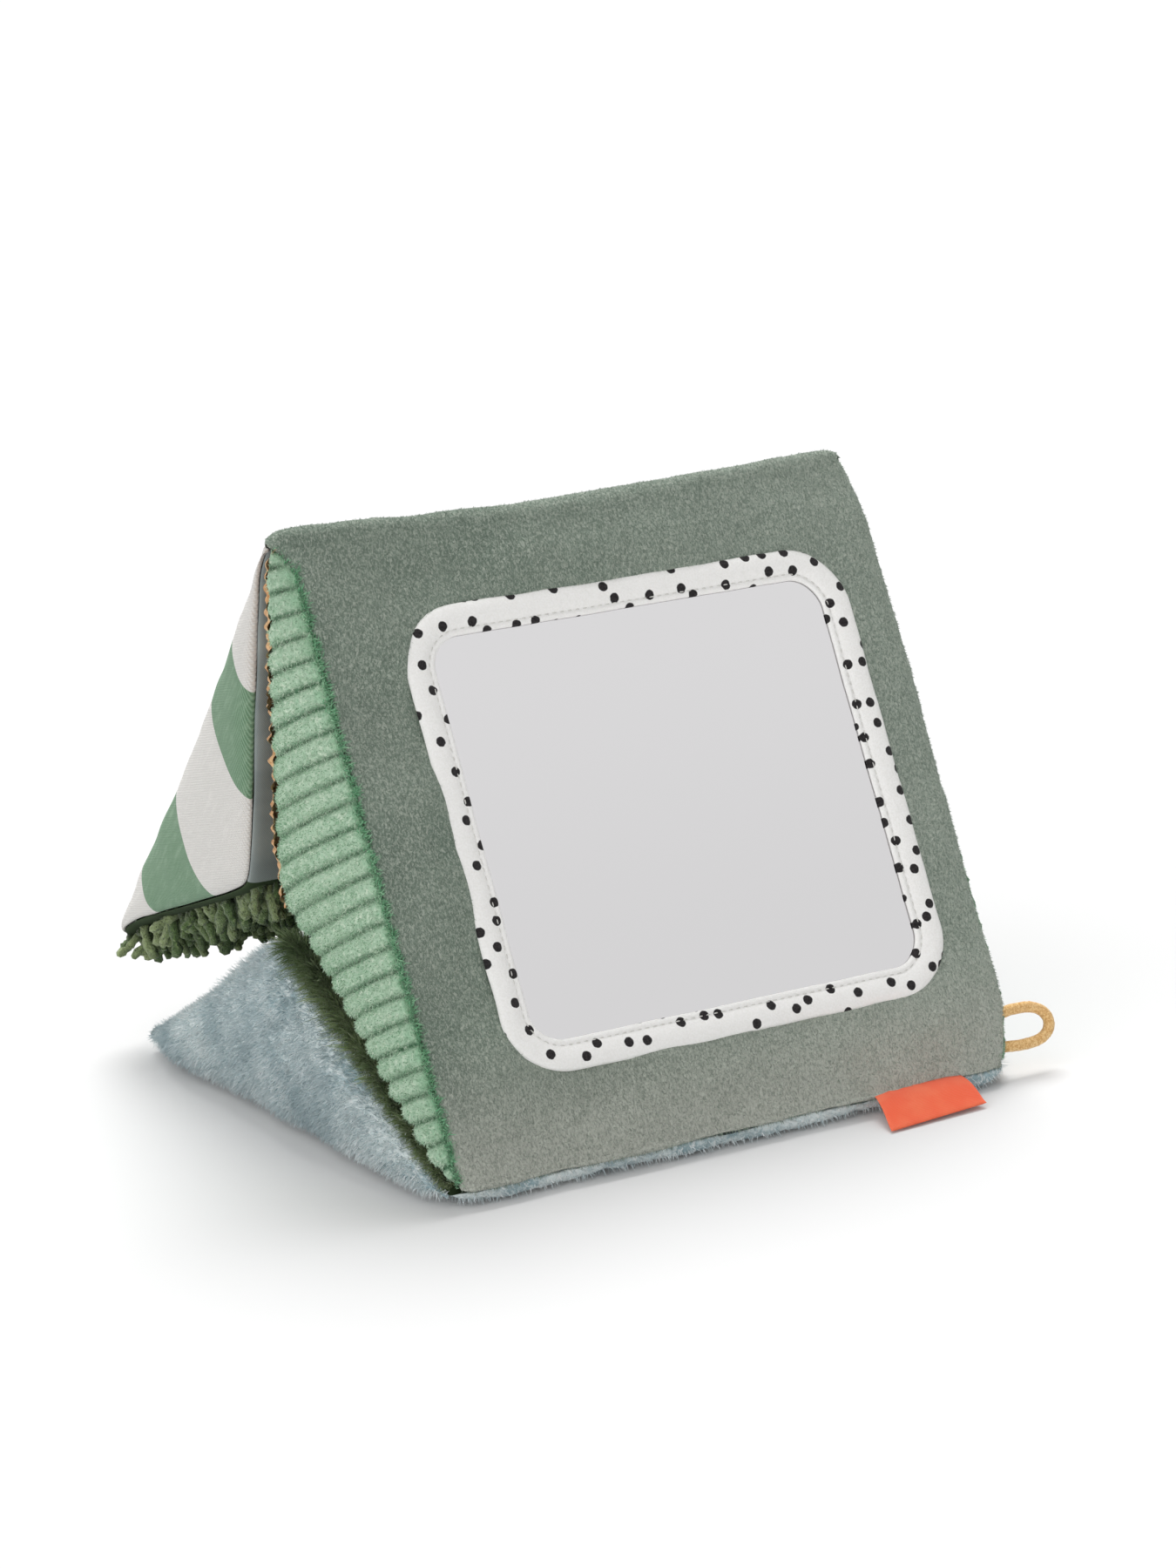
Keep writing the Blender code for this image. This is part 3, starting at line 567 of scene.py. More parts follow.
class Wedge:
    """One stuffed wedge: the lines of its cover, and how the cloth swells between its seams. swells are the most that
    the outer face, the inner faces and the ends swell as cloth. near_sunk is how deep the near inner face's sides are
    sunk, dome how squarely an end swells from its inner seam, and drawn how far that seam is drawn in at its corners.
    With a mirror, the cloth under the mirror's frame is held flat."""

    def __init__(self, name, place, free_edges, low, high, swells, near_sunk, dome, drawn, mirror=False):
        self.name, self.place, self.free, self.low, self.high = name, place, free_edges, low, high
        self.near_sunk, self.dome, self.drawn = near_sunk, dome, drawn
        moved = self.inflated(mirror)
        self.swell = {}
        for side, amount, at in (
            ("outer", swells[0], np.s_[:, :, 0]), ("inner", swells[1], np.s_[:, :, -1]),
            ("low_end", swells[2], np.s_[:, 0]), ("high_end", swells[2], np.s_[:, -1]),
        ):
            grid = smoothed(moved[INDEX[at]])
            usual = np.percentile(np.linalg.norm(grid, axis=2), 98)
            self.swell[side] = grid * (amount / max(usual, 1e-9))

    def from_edge(self, u):
        return np.minimum(u, PITCH - u)

    def inner(self, u):
        """The height of the inner faces' cloth, with its soft ridge and its full free edge."""
        line = RISE * (RIDGE_U - np.sqrt((u - RIDGE_U) ** 2 + RIDGE_SOFT**2)) - INNER_INSET
        for edge in self.free:
            line = line + TIP_LIFT * (1 - np.clip(np.abs(u - edge) / TIP_SPAN, 0, 1)) ** 2
        return line

    def outer(self, u):
        return np.full_like(u, -SKIN)

    def face_ends(self, u):
        """For each row of the outer face: its two seams' x, and the roundings before them, as columns() takes them."""
        low, low_wrap, low_sunk = self.low.lines(u)
        high, high_wrap, high_sunk = self.high.lines(u)
        return np.stack([-low, high, low_wrap, high_wrap, low_sunk, high_sunk], 1)

    def inner_sunk(self, u):
        near = 1 - ease(u, RIDGE_U - 0.006, RIDGE_U + 0.006)
        full = INNER_SUNK + (self.near_sunk - INNER_SUNK) * near
        return np.minimum(full, 0.35 * (self.inner(u) - self.outer(u)))

    def inner_reach(self, u, side):
        """The inner seam's distance from the middle plane."""
        near, far = side.inner_over
        drawn = self.drawn * (1 - np.clip(self.from_edge(u) / EDGE_SPAN, 0, 1)) ** 2
        return HALF_LENGTH + near + (far - near) * ease(u, RIDGE_U - 0.014, RIDGE_U + 0.014) - drawn

    def inner_ends(self, u):
        wrap, sunk = np.full_like(u, INNER_WRAP), self.inner_sunk(u)
        return np.stack([-self.inner_reach(u, self.low), self.inner_reach(u, self.high), wrap, wrap, sunk, sunk], 1)

    def inner_lines(self, u):
        """The inner faces' line, as u and height, and its outward way."""
        line = self.inner(u)
        slope = np.gradient(line, u)
        return np.stack([u, line], 1), np.stack([-slope, np.ones(len(u))], 1) / np.hypot(slope, 1)[:, None]

    def inflated(self, mirror):
        """How each point of the lattice moves when the cover, held along its seams, is blown up as cloth."""
        i, j, k = KEYS.T
        u = PITCH * i / ALONG
        top = np.maximum(self.inner(u), self.outer(u) + 0.002)
        height = self.outer(u) + (top - self.outer(u)) * k / BULGE_ROWS
        points = np.stack([HALF_LENGTH * (2 * j / ALONG - 1), u, height], 1)
        long_edge, end_edge = (i == 0) | (i == ALONG), (j == 0) | (j == ALONG)
        rim = (k == 0) | (k == BULGE_ROWS)
        held = long_edge | (end_edge & rim) | ((i == ALONG // 2) & (k == BULGE_ROWS))
        if mirror:
            held |= (k == 0) & (inside_rectangle(points[:, 0], points[:, 1], 0.0) > -0.002)
        mesh = bpy.data.meshes.new(self.name)
        mesh.from_pydata(points.tolist(), [], FACES.tolist())
        balloon = bpy.data.objects.new(self.name, mesh)
        bpy.context.scene.collection.objects.link(balloon)
        group = balloon.vertex_groups.new(name="held")
        group.add([int(v) for v in np.flatnonzero(held)], 1.0, "REPLACE")
        cloth = balloon.modifiers.new("cloth", "CLOTH")
        for key, value in CLOTH.items():
            setattr(cloth.settings, key, value)
        cloth.settings.effector_weights.gravity = 0
        cloth.point_cache.frame_start, cloth.point_cache.frame_end = 1, CLOTH_STEPS
        for step in range(1, CLOTH_STEPS + 1):
            bpy.context.scene.frame_set(step)
        result = balloon.evaluated_get(bpy.context.evaluated_depsgraph_get()).to_mesh()
        grown = np.zeros(len(result.vertices) * 3)
        result.vertices.foreach_get("co", grown)
        bpy.context.scene.frame_set(1)
        bpy.data.objects.remove(balloon)
        return grown.reshape(-1, 3) - points

    def to_row(self, vectors):
        return vectors @ np.array(self.place.to_3x3()).T


FLAT_COLUMNS, WRAP_COLUMNS = 150, 7
ALL_COLUMNS = FLAT_COLUMNS + 1 + 2 * WRAP_COLUMNS
WRAP_TURNS = np.linspace(0, math.pi / 2, WRAP_COLUMNS + 1)[1:]


def columns(ends):
    """For rows between two seams, rounded before each: every point's x, its depth under the face, and its nearness to a
    seam, from 0 on the face to 1."""
    low, high, low_wrap, high_wrap, low_sunk, high_sunk = (part[:, None] for part in np.asarray(ends).T)
    flat = low + low_wrap + (high - high_wrap - low - low_wrap) * np.linspace(0, 1, FLAT_COLUMNS + 1)
    out, down = np.sin(WRAP_TURNS), 1 - np.cos(WRAP_TURNS)
    x = np.concatenate([low + low_wrap * (1 - out[::-1]), flat, high - high_wrap * (1 - out)], 1)
    depth = np.concatenate([low_sunk * down[::-1], 0 * flat, high_sunk * down], 1)
    near = np.concatenate([down[::-1], np.zeros(FLAT_COLUMNS + 1), down])
    return x, depth, np.broadcast_to(near, x.shape)


def hinged_start(wedge, edge):
    """Where a wedge's inner face starts beside this long edge."""
    inward = 1 if edge == 0 else -1
    return edge + inward * (-0.0010 if edge in wedge.free else 0.0032)


def inner_panel(wedge, part, rows=92):
    """A grid over the near or far inner face, with its rounded sides, in the wedge's frame."""
    first, last = (hinged_start(wedge, 0), RIDGE_U) if part == "near" else (RIDGE_U, hinged_start(wedge, PITCH))
    u = np.linspace(first, last, rows)
    line, out = wedge.inner_lines(u)
    x, depth, near = columns(wedge.inner_ends(u))
    grid = np.concatenate([x[..., None], line[:, None] - out[:, None] * depth[..., None]], 2)
    share = (x[rows // 2] / np.abs(x[rows // 2]).max() + 1) / 2
    grid = grid + sampled(wedge.swell["inner"], u / PITCH, share) * (1 - near)[..., None]
    return grid, grid_normals(grid, (0, 0, 1)), u, near


def closed_at_hinge(wedge, grid, part):
    """The panel with one more row that turns down to the fold beside a hinge line."""
    edge, row, way = (0, 0, -1) if part == "near" else (PITCH, -1, 1)
    if edge in wedge.free:
        return grid
    lip = grid[row].copy()
    lip[:, 1] += 0.0004 * way
    lip[:, 2] = np.minimum(lip[:, 2] - 0.0005, -SKIN + 0.0007)
    return np.concatenate([lip[None], grid] if part == "near" else [grid, lip[None]])


def end_panel(wedge, sign, columns_along, rows):
    """A grid over the low (-1) or high (1) end of the wedge, domed from its outer seam to its inner one, with its
    normals and the distance to each seam."""
    side, blown = (wedge.low, wedge.swell["low_end"]) if sign < 0 else (wedge.high, wedge.swell["high_end"])
    starts = [TIP_REACH if edge in wedge.free else END_START for edge in (0, PITCH)]
    u = np.linspace(starts[0], PITCH - starts[1], columns_along)
    reach, wrap, sunk = side.lines(u)
    first = np.stack([reach, u, wedge.outer(u) + sunk], 1)
    line, out = wedge.inner_lines(u)
    inner = line - out * wedge.inner_sunk(u)[:, None]
    last = np.concatenate([wedge.inner_reach(u, side)[:, None], inner], 1)
    turn = np.linspace(-math.pi / 2, math.pi / 2, rows)
    across = np.sign(np.sin(turn)) * np.abs(np.sin(turn)) ** DOME_OUTER / 2 + 0.5
    dome = np.cos(turn).clip(0, 1) ** np.where(turn < 0, DOME_OUTER, wedge.dome)
    full = np.ones_like(u)
    for edge, start in zip((0, PITCH), starts):
        full = full * np.sqrt(np.clip((np.abs(u - edge) - 0.9 * start) / 0.034, 0, 1))
    blown = sampled(blown, u / PITCH, across)[..., 0] * sign
    given = (side.bulge * full)[:, None]
    grid = first[:, None] + (last - first)[:, None] * across[:, None]
    grid[..., 0] += given * dome + blown * full[:, None]
    grid[..., 0] *= sign
    height = np.linalg.norm(last - first, axis=1)[:, None]
    run = 0.5 * (1 + np.sin(turn))
    from_outer = height * across + given * np.minimum(dome, 1 - run)
    from_inner = height * (1 - across) + given * np.minimum(dome, run)
    return grid, grid_normals(grid, (sign, 0, 0)), from_outer, from_inner


def panel_piece(name, node, grid, toward, place, look, body, kept=None, shading=None):
    faces = grid_faces(grid, toward)
    if kept is not None:
        faces = faces[kept(grid.reshape(-1, 3)[faces].mean(1))]
    return new_piece(name, grid, faces, place, look, body, node, shading)


def inside_rectangle(x, u, inset):
    """The distance inside a rounded rectangle that lies this far inside the mirror frame's edge."""
    corner = FRAME_CORNER - inset
    across = np.abs(x - FRAME_X) - (FRAME_WIDTH / 2 - inset - corner)
    along = np.abs(u - FRAME_U) - (FRAME_HEIGHT / 2 - inset - corner)
    outside = np.hypot(np.maximum(across, 0), np.maximum(along, 0))
    return corner - outside - np.minimum(np.maximum(across, along), 0)


# ---- strands ----

def scatter(grid, faces, count, seed):
    """Random places on a mesh of quads: positions, normals, and the random source."""
    draw = np.random.default_rng(seed)
    a, b, c, d = (grid.reshape(-1, 3)[faces[:, n]] for n in range(4))
    cross = np.cross(c - a, d - b)
    area = np.linalg.norm(cross, axis=1)
    chosen = draw.choice(len(faces), count, p=area / area.sum())
    s, t = draw.random(count)[:, None], draw.random(count)[:, None]
    at = (a[chosen] * (1 - s) + b[chosen] * s) * (1 - t) + (d[chosen] * (1 - s) + c[chosen] * s) * t
    return at, cross[chosen] / np.maximum(area[chosen], 1e-12)[:, None], draw


def blades_piece(name, roots, ways, bends, lengths, widths, draw, steps, place, look, body):
    """Tapered ribbons, as one piece: each leaves its root along its way and bends over."""
    count = len(roots)
    side = unit(np.cross(ways, draw.normal(size=(count, 3))))
    rows = []
    for step in range(steps + 1):
        share = step / steps
        middle = roots + ways * (lengths * share)[:, None] + bends * (lengths * share**2)[:, None]
        half = side * (widths * (1 - 0.85 * share) / 2)[:, None]
        rows += [middle - half, middle + half]
    points = np.stack(rows, 1).reshape(-1, 3)
    first = np.arange(count)[:, None] * len(rows)
    faces = np.stack([first + np.array([2 * s, 2 * s + 1, 2 * s + 3, 2 * s + 2]) for s in range(steps)], 1)
    along = np.tile(np.repeat(np.arange(steps + 1) / steps, 2), count)
    tone = np.repeat(draw.random(count), len(rows))
    return new_piece(name, points, faces.reshape(-1, 4), place, look, body, strands=(along, tone))


def pile_piece(name, grid, toward, density, length, width, lean, place, look, body, seed, spread=0.35, kept=None):
    """Short hairs all over a panel, density to the square metre, all leaning one way."""
    faces = grid_faces(grid, toward)
    a, b, c, d = (grid.reshape(-1, 3)[faces[:, n]] for n in range(4))
    area = np.linalg.norm(np.cross(c - a, d - b), axis=1).sum() / 2
    at, normals, draw = scatter(grid, faces, int(density * area), seed)
    if kept is not None:
        chosen = kept(at)
        at, normals = at[chosen], normals[chosen]
    count = len(at)
    ways = unit(normals + draw.normal(size=(count, 3)) * spread)
    bends = np.array(lean)[None] * (0.6 + 0.8 * draw.random(count))[:, None]
    lengths = length * (0.6 + 0.6 * draw.random(count))
    blades_piece(
        name, at - normals * 0.0003, ways, bends, lengths, np.full(count, width), draw, 1, place, look, body)


def tubes(paths, radii, sides, bumpy, draw, beside=(1, 0, 0)):
    """A round closed worm along each path. paths is (n, steps, 3), radii (n, steps); beside is a way no path takes."""
    count, steps, _ = paths.shape
    way = unit(np.gradient(paths, axis=1))
    first = unit(np.cross(way, np.array(beside, float)))
    second = np.cross(way, first)
    turns = np.arange(sides) * math.tau / sides
    rough = 1 + bumpy * draw.normal(size=(count, steps, sides))
    ring = first[:, :, None] * np.cos(turns)[:, None] + second[:, :, None] * np.sin(turns)[:, None]
    points = paths[:, :, None] + ring * (radii[:, :, None] * rough)[..., None]
    tips = paths[:, [0, -1]] + way[:, [0, -1]] * radii[:, [0, -1], None] * np.array([-0.5, 0.5])[None, :, None]
    points = np.concatenate([points.reshape(count, -1, 3), tips], 1)
    at = np.pad(np.arange(steps * sides).reshape(steps, sides), ((0, 0), (0, 1)), mode="wrap")
    quads = quads_over(at)[:, [0, 3, 2, 1]]
    tip = np.full(sides, steps * sides)
    caps = np.stack([np.stack([at[0, 1:], at[0, :-1], tip], 1), np.stack([at[-1, :-1], at[-1, 1:], tip + 1], 1)], 1)
    base = np.arange(count)[:, None, None] * points.shape[1]
    faces = (base + quads).reshape(-1, 4).tolist() + (base + caps.reshape(-1, 3)).reshape(-1, 3).tolist()
    return points.reshape(-1, 3), faces


# ---- the skins that run round the hinges ----

class Path:
    """Rows of a skin: for each, its place and outward way in y and z at every column, and its two ends."""

    def __init__(self):
        self.at, self.out, self.ends, self.u, self.wedge = [], [], [], [], []
        self.marks = {}

    def mark(self, name):
        self.marks[name] = len(self.at) - 1

    def add(self, at, out, ends, u=0.0, wedge=None):
        """One row. Rows on a wedge's face name the wedge and their u, so that they swell with it."""
        self.at.append(np.broadcast_to(at, (ALL_COLUMNS, 2)))
        self.out.append(np.broadcast_to(out, (ALL_COLUMNS, 2)))
        self.ends.append(ends)
        self.u.append(u)
        self.wedge.append(wedge)

    def grid(self):
        """The skin in the row frame, its outward normals, and the nearness of each point to a seam."""
        x, depth, near = columns(np.array(self.ends))
        out = np.stack(self.out)
        grid = np.concatenate([x[..., None], np.stack(self.at) - out * depth[..., None]], 2)
        for wedge in dict.fromkeys(w for w in self.wedge if w is not None):
            rows = np.array([n for n, w in enumerate(self.wedge) if w is wedge])
            u = np.array(self.u)[rows]
            middle = x[rows[len(rows) // 2]]
            share = (middle - middle.min()) / (middle.max() - middle.min())
            moved = wedge.to_row(sampled(wedge.swell["outer"], u / PITCH, share))
            grid[rows] += moved * ease(wedge.from_edge(u), FOLD_REACH, 0.020)[:, None, None]
        return grid, grid_normals(grid, (0, *out[len(grid) // 2, ALL_COLUMNS // 2])), near


def tucked(ends, left, right):
    """A row's ends, drawn in this much on either side."""
    return ends + np.array([left, -right, 0, 0, 0, 0])


def face_point(hinge, away, out, reach):
    """A point of a face's cloth, this far from its hinge line."""
    return np.array(hinge) + away * np.asarray(reach)[..., None] + out * SKIN


FLOOR_AT, APEX_AT = tuple(FLOOR_HINGE)[1:], tuple(APEX_HINGE)[1:]
UP_FRONT, DOWN_BACK = direction(FRONT_LEAN), direction(FRONT_LEAN + math.pi + APEX_ANGLE)
APEX_ROUND_END, APEX_ROUND_MIDDLE = 0.0034, 0.0060
FACE_ROWS, SOLE_ROWS, TIP_ROWS = 150, 140, 14
LIP_END = 183  # the degrees round the floor hinge where the velour's lower lip ends
CORNER_ROUND = 0.0060
SOLE_LOW, SOLE_FRONT = 0.0003, 0.0011  # the sole's heights over the floor
BLUE_ROUND = 0.0037


def apex_round():
    """The fold's radius at every column, larger where the top sags between its corners."""
    share = np.pad(np.abs(np.linspace(-1, 1, FLAT_COLUMNS + 1)), WRAP_COLUMNS, constant_values=1)
    return APEX_ROUND_END + (APEX_ROUND_MIDDLE - APEX_ROUND_END) * (1 - ease(share, 0.08, 0.85))


def add_face(path, wedge, hinge, away, out, reaches):
    """Rows over a wedge's outer face, at these distances from a hinge line."""
    for reach in reaches:
        inside = FOLD_REACH < reach < PITCH - FOLD_REACH or (0 in wedge.free and reach > FOLD_REACH)
        ends = wedge.face_ends(np.array([PITCH - reach]))[0]
        path.add(face_point(hinge, away, out, reach), out, ends, PITCH - reach, wedge if inside else None)


def add_tip(path, wedge, centre, first, last, u):
    """Rows round a free edge: the skin turns round this centre from one outward way to the other."""
    ends = wedge.face_ends(np.array([u]))[0]
    for angle in np.linspace(first, last, TIP_ROWS + 1)[1:]:
        out = direction(angle)
        path.add(np.array(centre) + out * SKIN, out, ends)


def velour_skin(front, back):
    """From the floor fold up the front, over the top and down the back to its free edge."""
    path = Path()
    ends = front.face_ends(np.array([PITCH]))[0]
    for angle in np.linspace(LIP_END, math.degrees(FRONT_OUT) + 4, 9):
        out = direction(math.radians(angle))
        near = SKIN + 0.0006 * ease(angle, 156, 166) - 0.0014 * ease(angle, LIP_END - 9, LIP_END)
        round_in = CORNER_ROUND * ease(angle, math.degrees(FRONT_OUT) - 4, LIP_END + 50)
        path.add(np.array(FLOOR_AT) + out * near, out, tucked(ends, 0.3 * round_in, round_in))
    front_out, back_out = direction(FRONT_OUT), direction(BACK_OUT)
    add_face(path, front, FLOOR_AT, UP_FRONT, front_out, (0.0002, 0.0015, 0.0032, FOLD_REACH))
    path.mark("front")
    add_face(path, front, FLOOR_AT, UP_FRONT, front_out, np.linspace(FOLD_REACH, PITCH - FOLD_REACH, FACE_ROWS)[1:])
    path.mark("apex")
    radius = apex_round()
    tangent = (radius - SKIN) / math.tan(APEX_ANGLE / 2)
    near_front, first = front.face_ends(np.array([FOLD_REACH, 0.0]))
    near_back, last = back.face_ends(np.array([PITCH - FOLD_REACH, PITCH]))
    for share in (0.35, 0.7, 1.0):
        reach = FOLD_REACH + (tangent - FOLD_REACH) * share
        path.add(face_point(APEX_AT, -UP_FRONT, front_out, reach), front_out, near_front + (first - near_front) * share)
    middle = (FRONT_OUT + BACK_OUT) / 2
    centre = np.array(APEX_AT) - direction(middle) * ((radius - SKIN) / math.sin(APEX_ANGLE / 2))[:, None]
    for share in np.linspace(0, 1, 16)[1:]:
        out = direction(FRONT_OUT + (BACK_OUT - FRONT_OUT) * share)
        path.add(centre + out * radius[:, None], out, first + (last - first) * share)
    for share in (0.3, 0.65, 1.0):
        reach = tangent + (FOLD_REACH - tangent) * share
        path.add(face_point(APEX_AT, DOWN_BACK, back_out, reach), back_out, last + (near_back - last) * share)
    path.mark("back")
    add_face(path, back, APEX_AT, DOWN_BACK, back_out, np.linspace(FOLD_REACH, PITCH - TIP_REACH, FACE_ROWS)[1:])
    centre = np.array(APEX_AT) + DOWN_BACK * (PITCH - TIP_REACH)
    add_tip(path, back, centre, BACK_OUT, BACK_OUT - math.radians(150), 0.0)
    return path


def sole_height(reach):
    rise = HINGE_HEIGHT - SKIN - SOLE_LOW
    front = (SOLE_FRONT - SOLE_LOW) * (1 - ease(reach, 0.001, 0.014))
    return SOLE_LOW + front + rise * ease(reach, PITCH - 0.022, PITCH - TIP_REACH)


def sole_skin(base):
    """From the floor fold along the underside of the base to its free edge and round it."""
    path = Path()
    ends = base.face_ends(np.array([0.0]))[0]
    centre = np.array([FLOOR_AT[0] + 0.0009, SOLE_FRONT + BLUE_ROUND])
    for angle in np.linspace(150, 270, 17):
        out = direction(math.radians(angle))
        near = BLUE_ROUND - 0.0012 * (1 - ease(angle, 150, 170))
        round_in = CORNER_ROUND * (0.35 + 0.65 * ease(angle, 165, 255))
        path.add(centre + out * near, out, tucked(ends, 0.5 * round_in, round_in))
    down = direction(-math.pi / 2)
    for n, reach in enumerate(np.append(0.0022, np.linspace(0.0036, PITCH - 0.0002, SOLE_ROWS))):
        round_in = CORNER_ROUND * (1 - ease(reach, 0.0, 0.012))
        ends = tucked(base.face_ends(np.array([reach]))[0], 0.5 * round_in, round_in)
        path.add(np.array([FLOOR_AT[0] + reach, sole_height(reach)]), down, ends, reach)
        if n == 1:
            path.mark("sole")
    centre = np.array([FLOOR_AT[0] + PITCH + TIP_REACH, HINGE_HEIGHT])
    add_tip(path, base, centre, math.radians(270), math.radians(420), PITCH)
    return path


class Base(Wedge):
    """The wedge on the floor, whose outer face is the sole."""

    def outer(self, u):
        return sole_height(u) - HINGE_HEIGHT


# ---- building the wedges ----

FOAM_TIP, FOAM_INSET, FOAM_END = 0.014, 0.0036, 0.0060  # from the long edges, from the faces and from the ends


def stuffing(wedge, name, node):
    """The foam inside, a little smaller than its cover."""
    i, j, k = KEYS.T
    u = FOAM_TIP + (PITCH - 2 * FOAM_TIP) * i / ALONG
    low, high = wedge.outer(u) + FOAM_INSET, wedge.inner(u) - FOAM_INSET
    points = np.stack([(HALF_LENGTH - FOAM_END) * (2 * j / ALONG - 1), u, low + (high - low) * k / BULGE_ROWS], 1)
    new_piece(name, points, FACES, wedge.place, "foam", wedge.name, node)


def plush_relief(grid, seed=3.1):
    """Soft dents and the streaks of brushed plush, as a height over each point."""
    wide = field(grid, 34, seed)
    streak = field(grid * np.array([1.4, 0.6, 1.4]), 160, seed + 6.3)
    return 0.0016 * wide + 0.0005 * streak


def build_base(base):
    path = sole_skin(base)
    grid, normal, near = path.grid()
    grid = grid + normal * (plush_relief(grid) * (1 - near))[..., None]
    grid[..., 2] = np.maximum(grid[..., 2], 0.0002)
    fold, sole = grid[:path.marks["sole"] + 1], grid[path.marks["sole"]:]
    panel_piece("floor_hinge_fold", "floor_hinge_roll", fold, (0, -1, -1), None, "plush", "floor_fold")
    panel_piece("base_sole", "base_sole_panel", sole, (0, 0, -1), None, "plush", "base")
    hair = dict(width=0.0004, look="plush_pile")
    front_hair = dict(
        density=900e3, length=0.0016, lean=(0.1, -0.1, -0.5), place=None, kept=lambda at: at[:, 2] > 0.0014, **hair)
    pile_piece("floor_hinge_pile", fold, (0, -1, -1), body="floor_fold", seed=14, **front_hair)
    pile_piece("base_sole_pile", sole, (0, 0, -1), body="base", seed=15, **front_hair)

    hair.update(length=0.0026, place=BASE, body="base")
    for sign, side, seed in ((-1, "left", 11), (1, "right", 12)):
        end, normal, from_outer, from_inner = end_panel(base, sign, 217, 44)
        groove = np.minimum(np.exp(-from_outer / 0.0022) + np.exp(-from_inner / 0.0018), 1)
        corner = np.exp(-np.minimum(base.from_edge(end[..., 1]), 0.08) / 0.022)
        folds = field(end * np.array([0, 0.7, 1.6]), 95, 8.0) * corner
        amount = plush_relief(end, 5.0) * (1 - groove) - 0.0008 * groove + 0.0011 * folds
        end = end + normal * amount[..., None]
        end[..., 2] = np.maximum(end[..., 2], 0.0002 - HINGE_HEIGHT)
        panel_piece(f"base_{side}", f"base_{side}_end", end, (sign, 0, 0), BASE, "plush", "base")
        pile_piece(f"base_{side}_pile", end, (sign, 0, 0), 2.6e6, lean=(sign * 0.25, -0.45, -0.1), seed=seed, **hair)

    far, normal, u, near = inner_panel(base, "far")
    far = far + normal * (plush_relief(far, 2.0) * (1 - near))[..., None]
    panel_piece("base_rear", "base_rear_panel", far, (0, 1, 1), BASE, "plush", "base")
    pile_piece("base_rear_pile", far, (0, 1, 1), 1.4e6, lean=(-0.3, 0.4, -0.1), seed=13, **hair)

    ground = inner_panel(base, "near")[0]
    closed = closed_at_hinge(base, ground, "near")
    panel_piece("base_fur_ground", "base_fur_panel", closed, (0, -1, 1), BASE, "fur_ground", "base")
    fur_pile(ground)
    stuffing(base, "base_stuffing", "base_foam_core")


FUR_BLADES, FUR_BLADES_BESIDE_ENDS = 16500, 16000


def fur_pile(ground):
    """Long tufted fur on the base's front inner face, filling the slit under the front wedge."""
    faces = grid_faces(ground, (0, -1, 1))
    beside_end = np.abs(ground.reshape(-1, 3)[faces].mean(1)[:, 0]) > HALF_LENGTH - 0.006
    at, normals, draw = scatter(ground, faces, FUR_BLADES, 21)
    edge_at, edge_normals, _ = scatter(ground, faces[beside_end], FUR_BLADES_BESIDE_ENDS, 22)
    short = np.concatenate([np.zeros(len(at)), np.ones(len(edge_at))])
    at, normals = np.concatenate([at, edge_at]), np.concatenate([normals, edge_normals])
    over_end = np.sign(at[:, 0]) * ease(np.abs(at[:, 0]), HALF_LENGTH - 0.009, HALF_LENGTH - 0.001)
    tuft, other = field(at, 170, 5.0), field(at, 170, 25.0)
    ways = normals + draw.normal(size=at.shape) * (0.16 + 0.34 * short)[:, None]
    ways[:, 0] += 0.25 * over_end + 0.35 * tuft
    ways[:, 1] += 0.35 * other
    bends = np.stack([0.35 * tuft + 0.3 * over_end, 0.3 * other - 0.2, -0.2 * np.abs(over_end)], 1)
    room = 0.0024 + 0.0072 * np.clip(at[:, 1] / RIDGE_U, 0, 1) + 0.0008 * np.abs(over_end)
    lengths = room * (0.70 + 0.45 * draw.random(len(at)) + 0.25 * tuft) * (1 - 0.35 * short)
    blades_piece(
        "base_fur_pile", at - normals * 0.0004, unit(ways), bends, lengths, 0.0009 - 0.0004 * short, draw, 3,
        BASE, "fur", "base")


def wale(u):
    """The round profile of the corduroy's ribs, from 0 in a valley to 1."""
    part = (u / RIB_PITCH) % 1.0
    return np.sqrt(np.clip(1 - (2 * part - 1) ** 2, 0, 1))


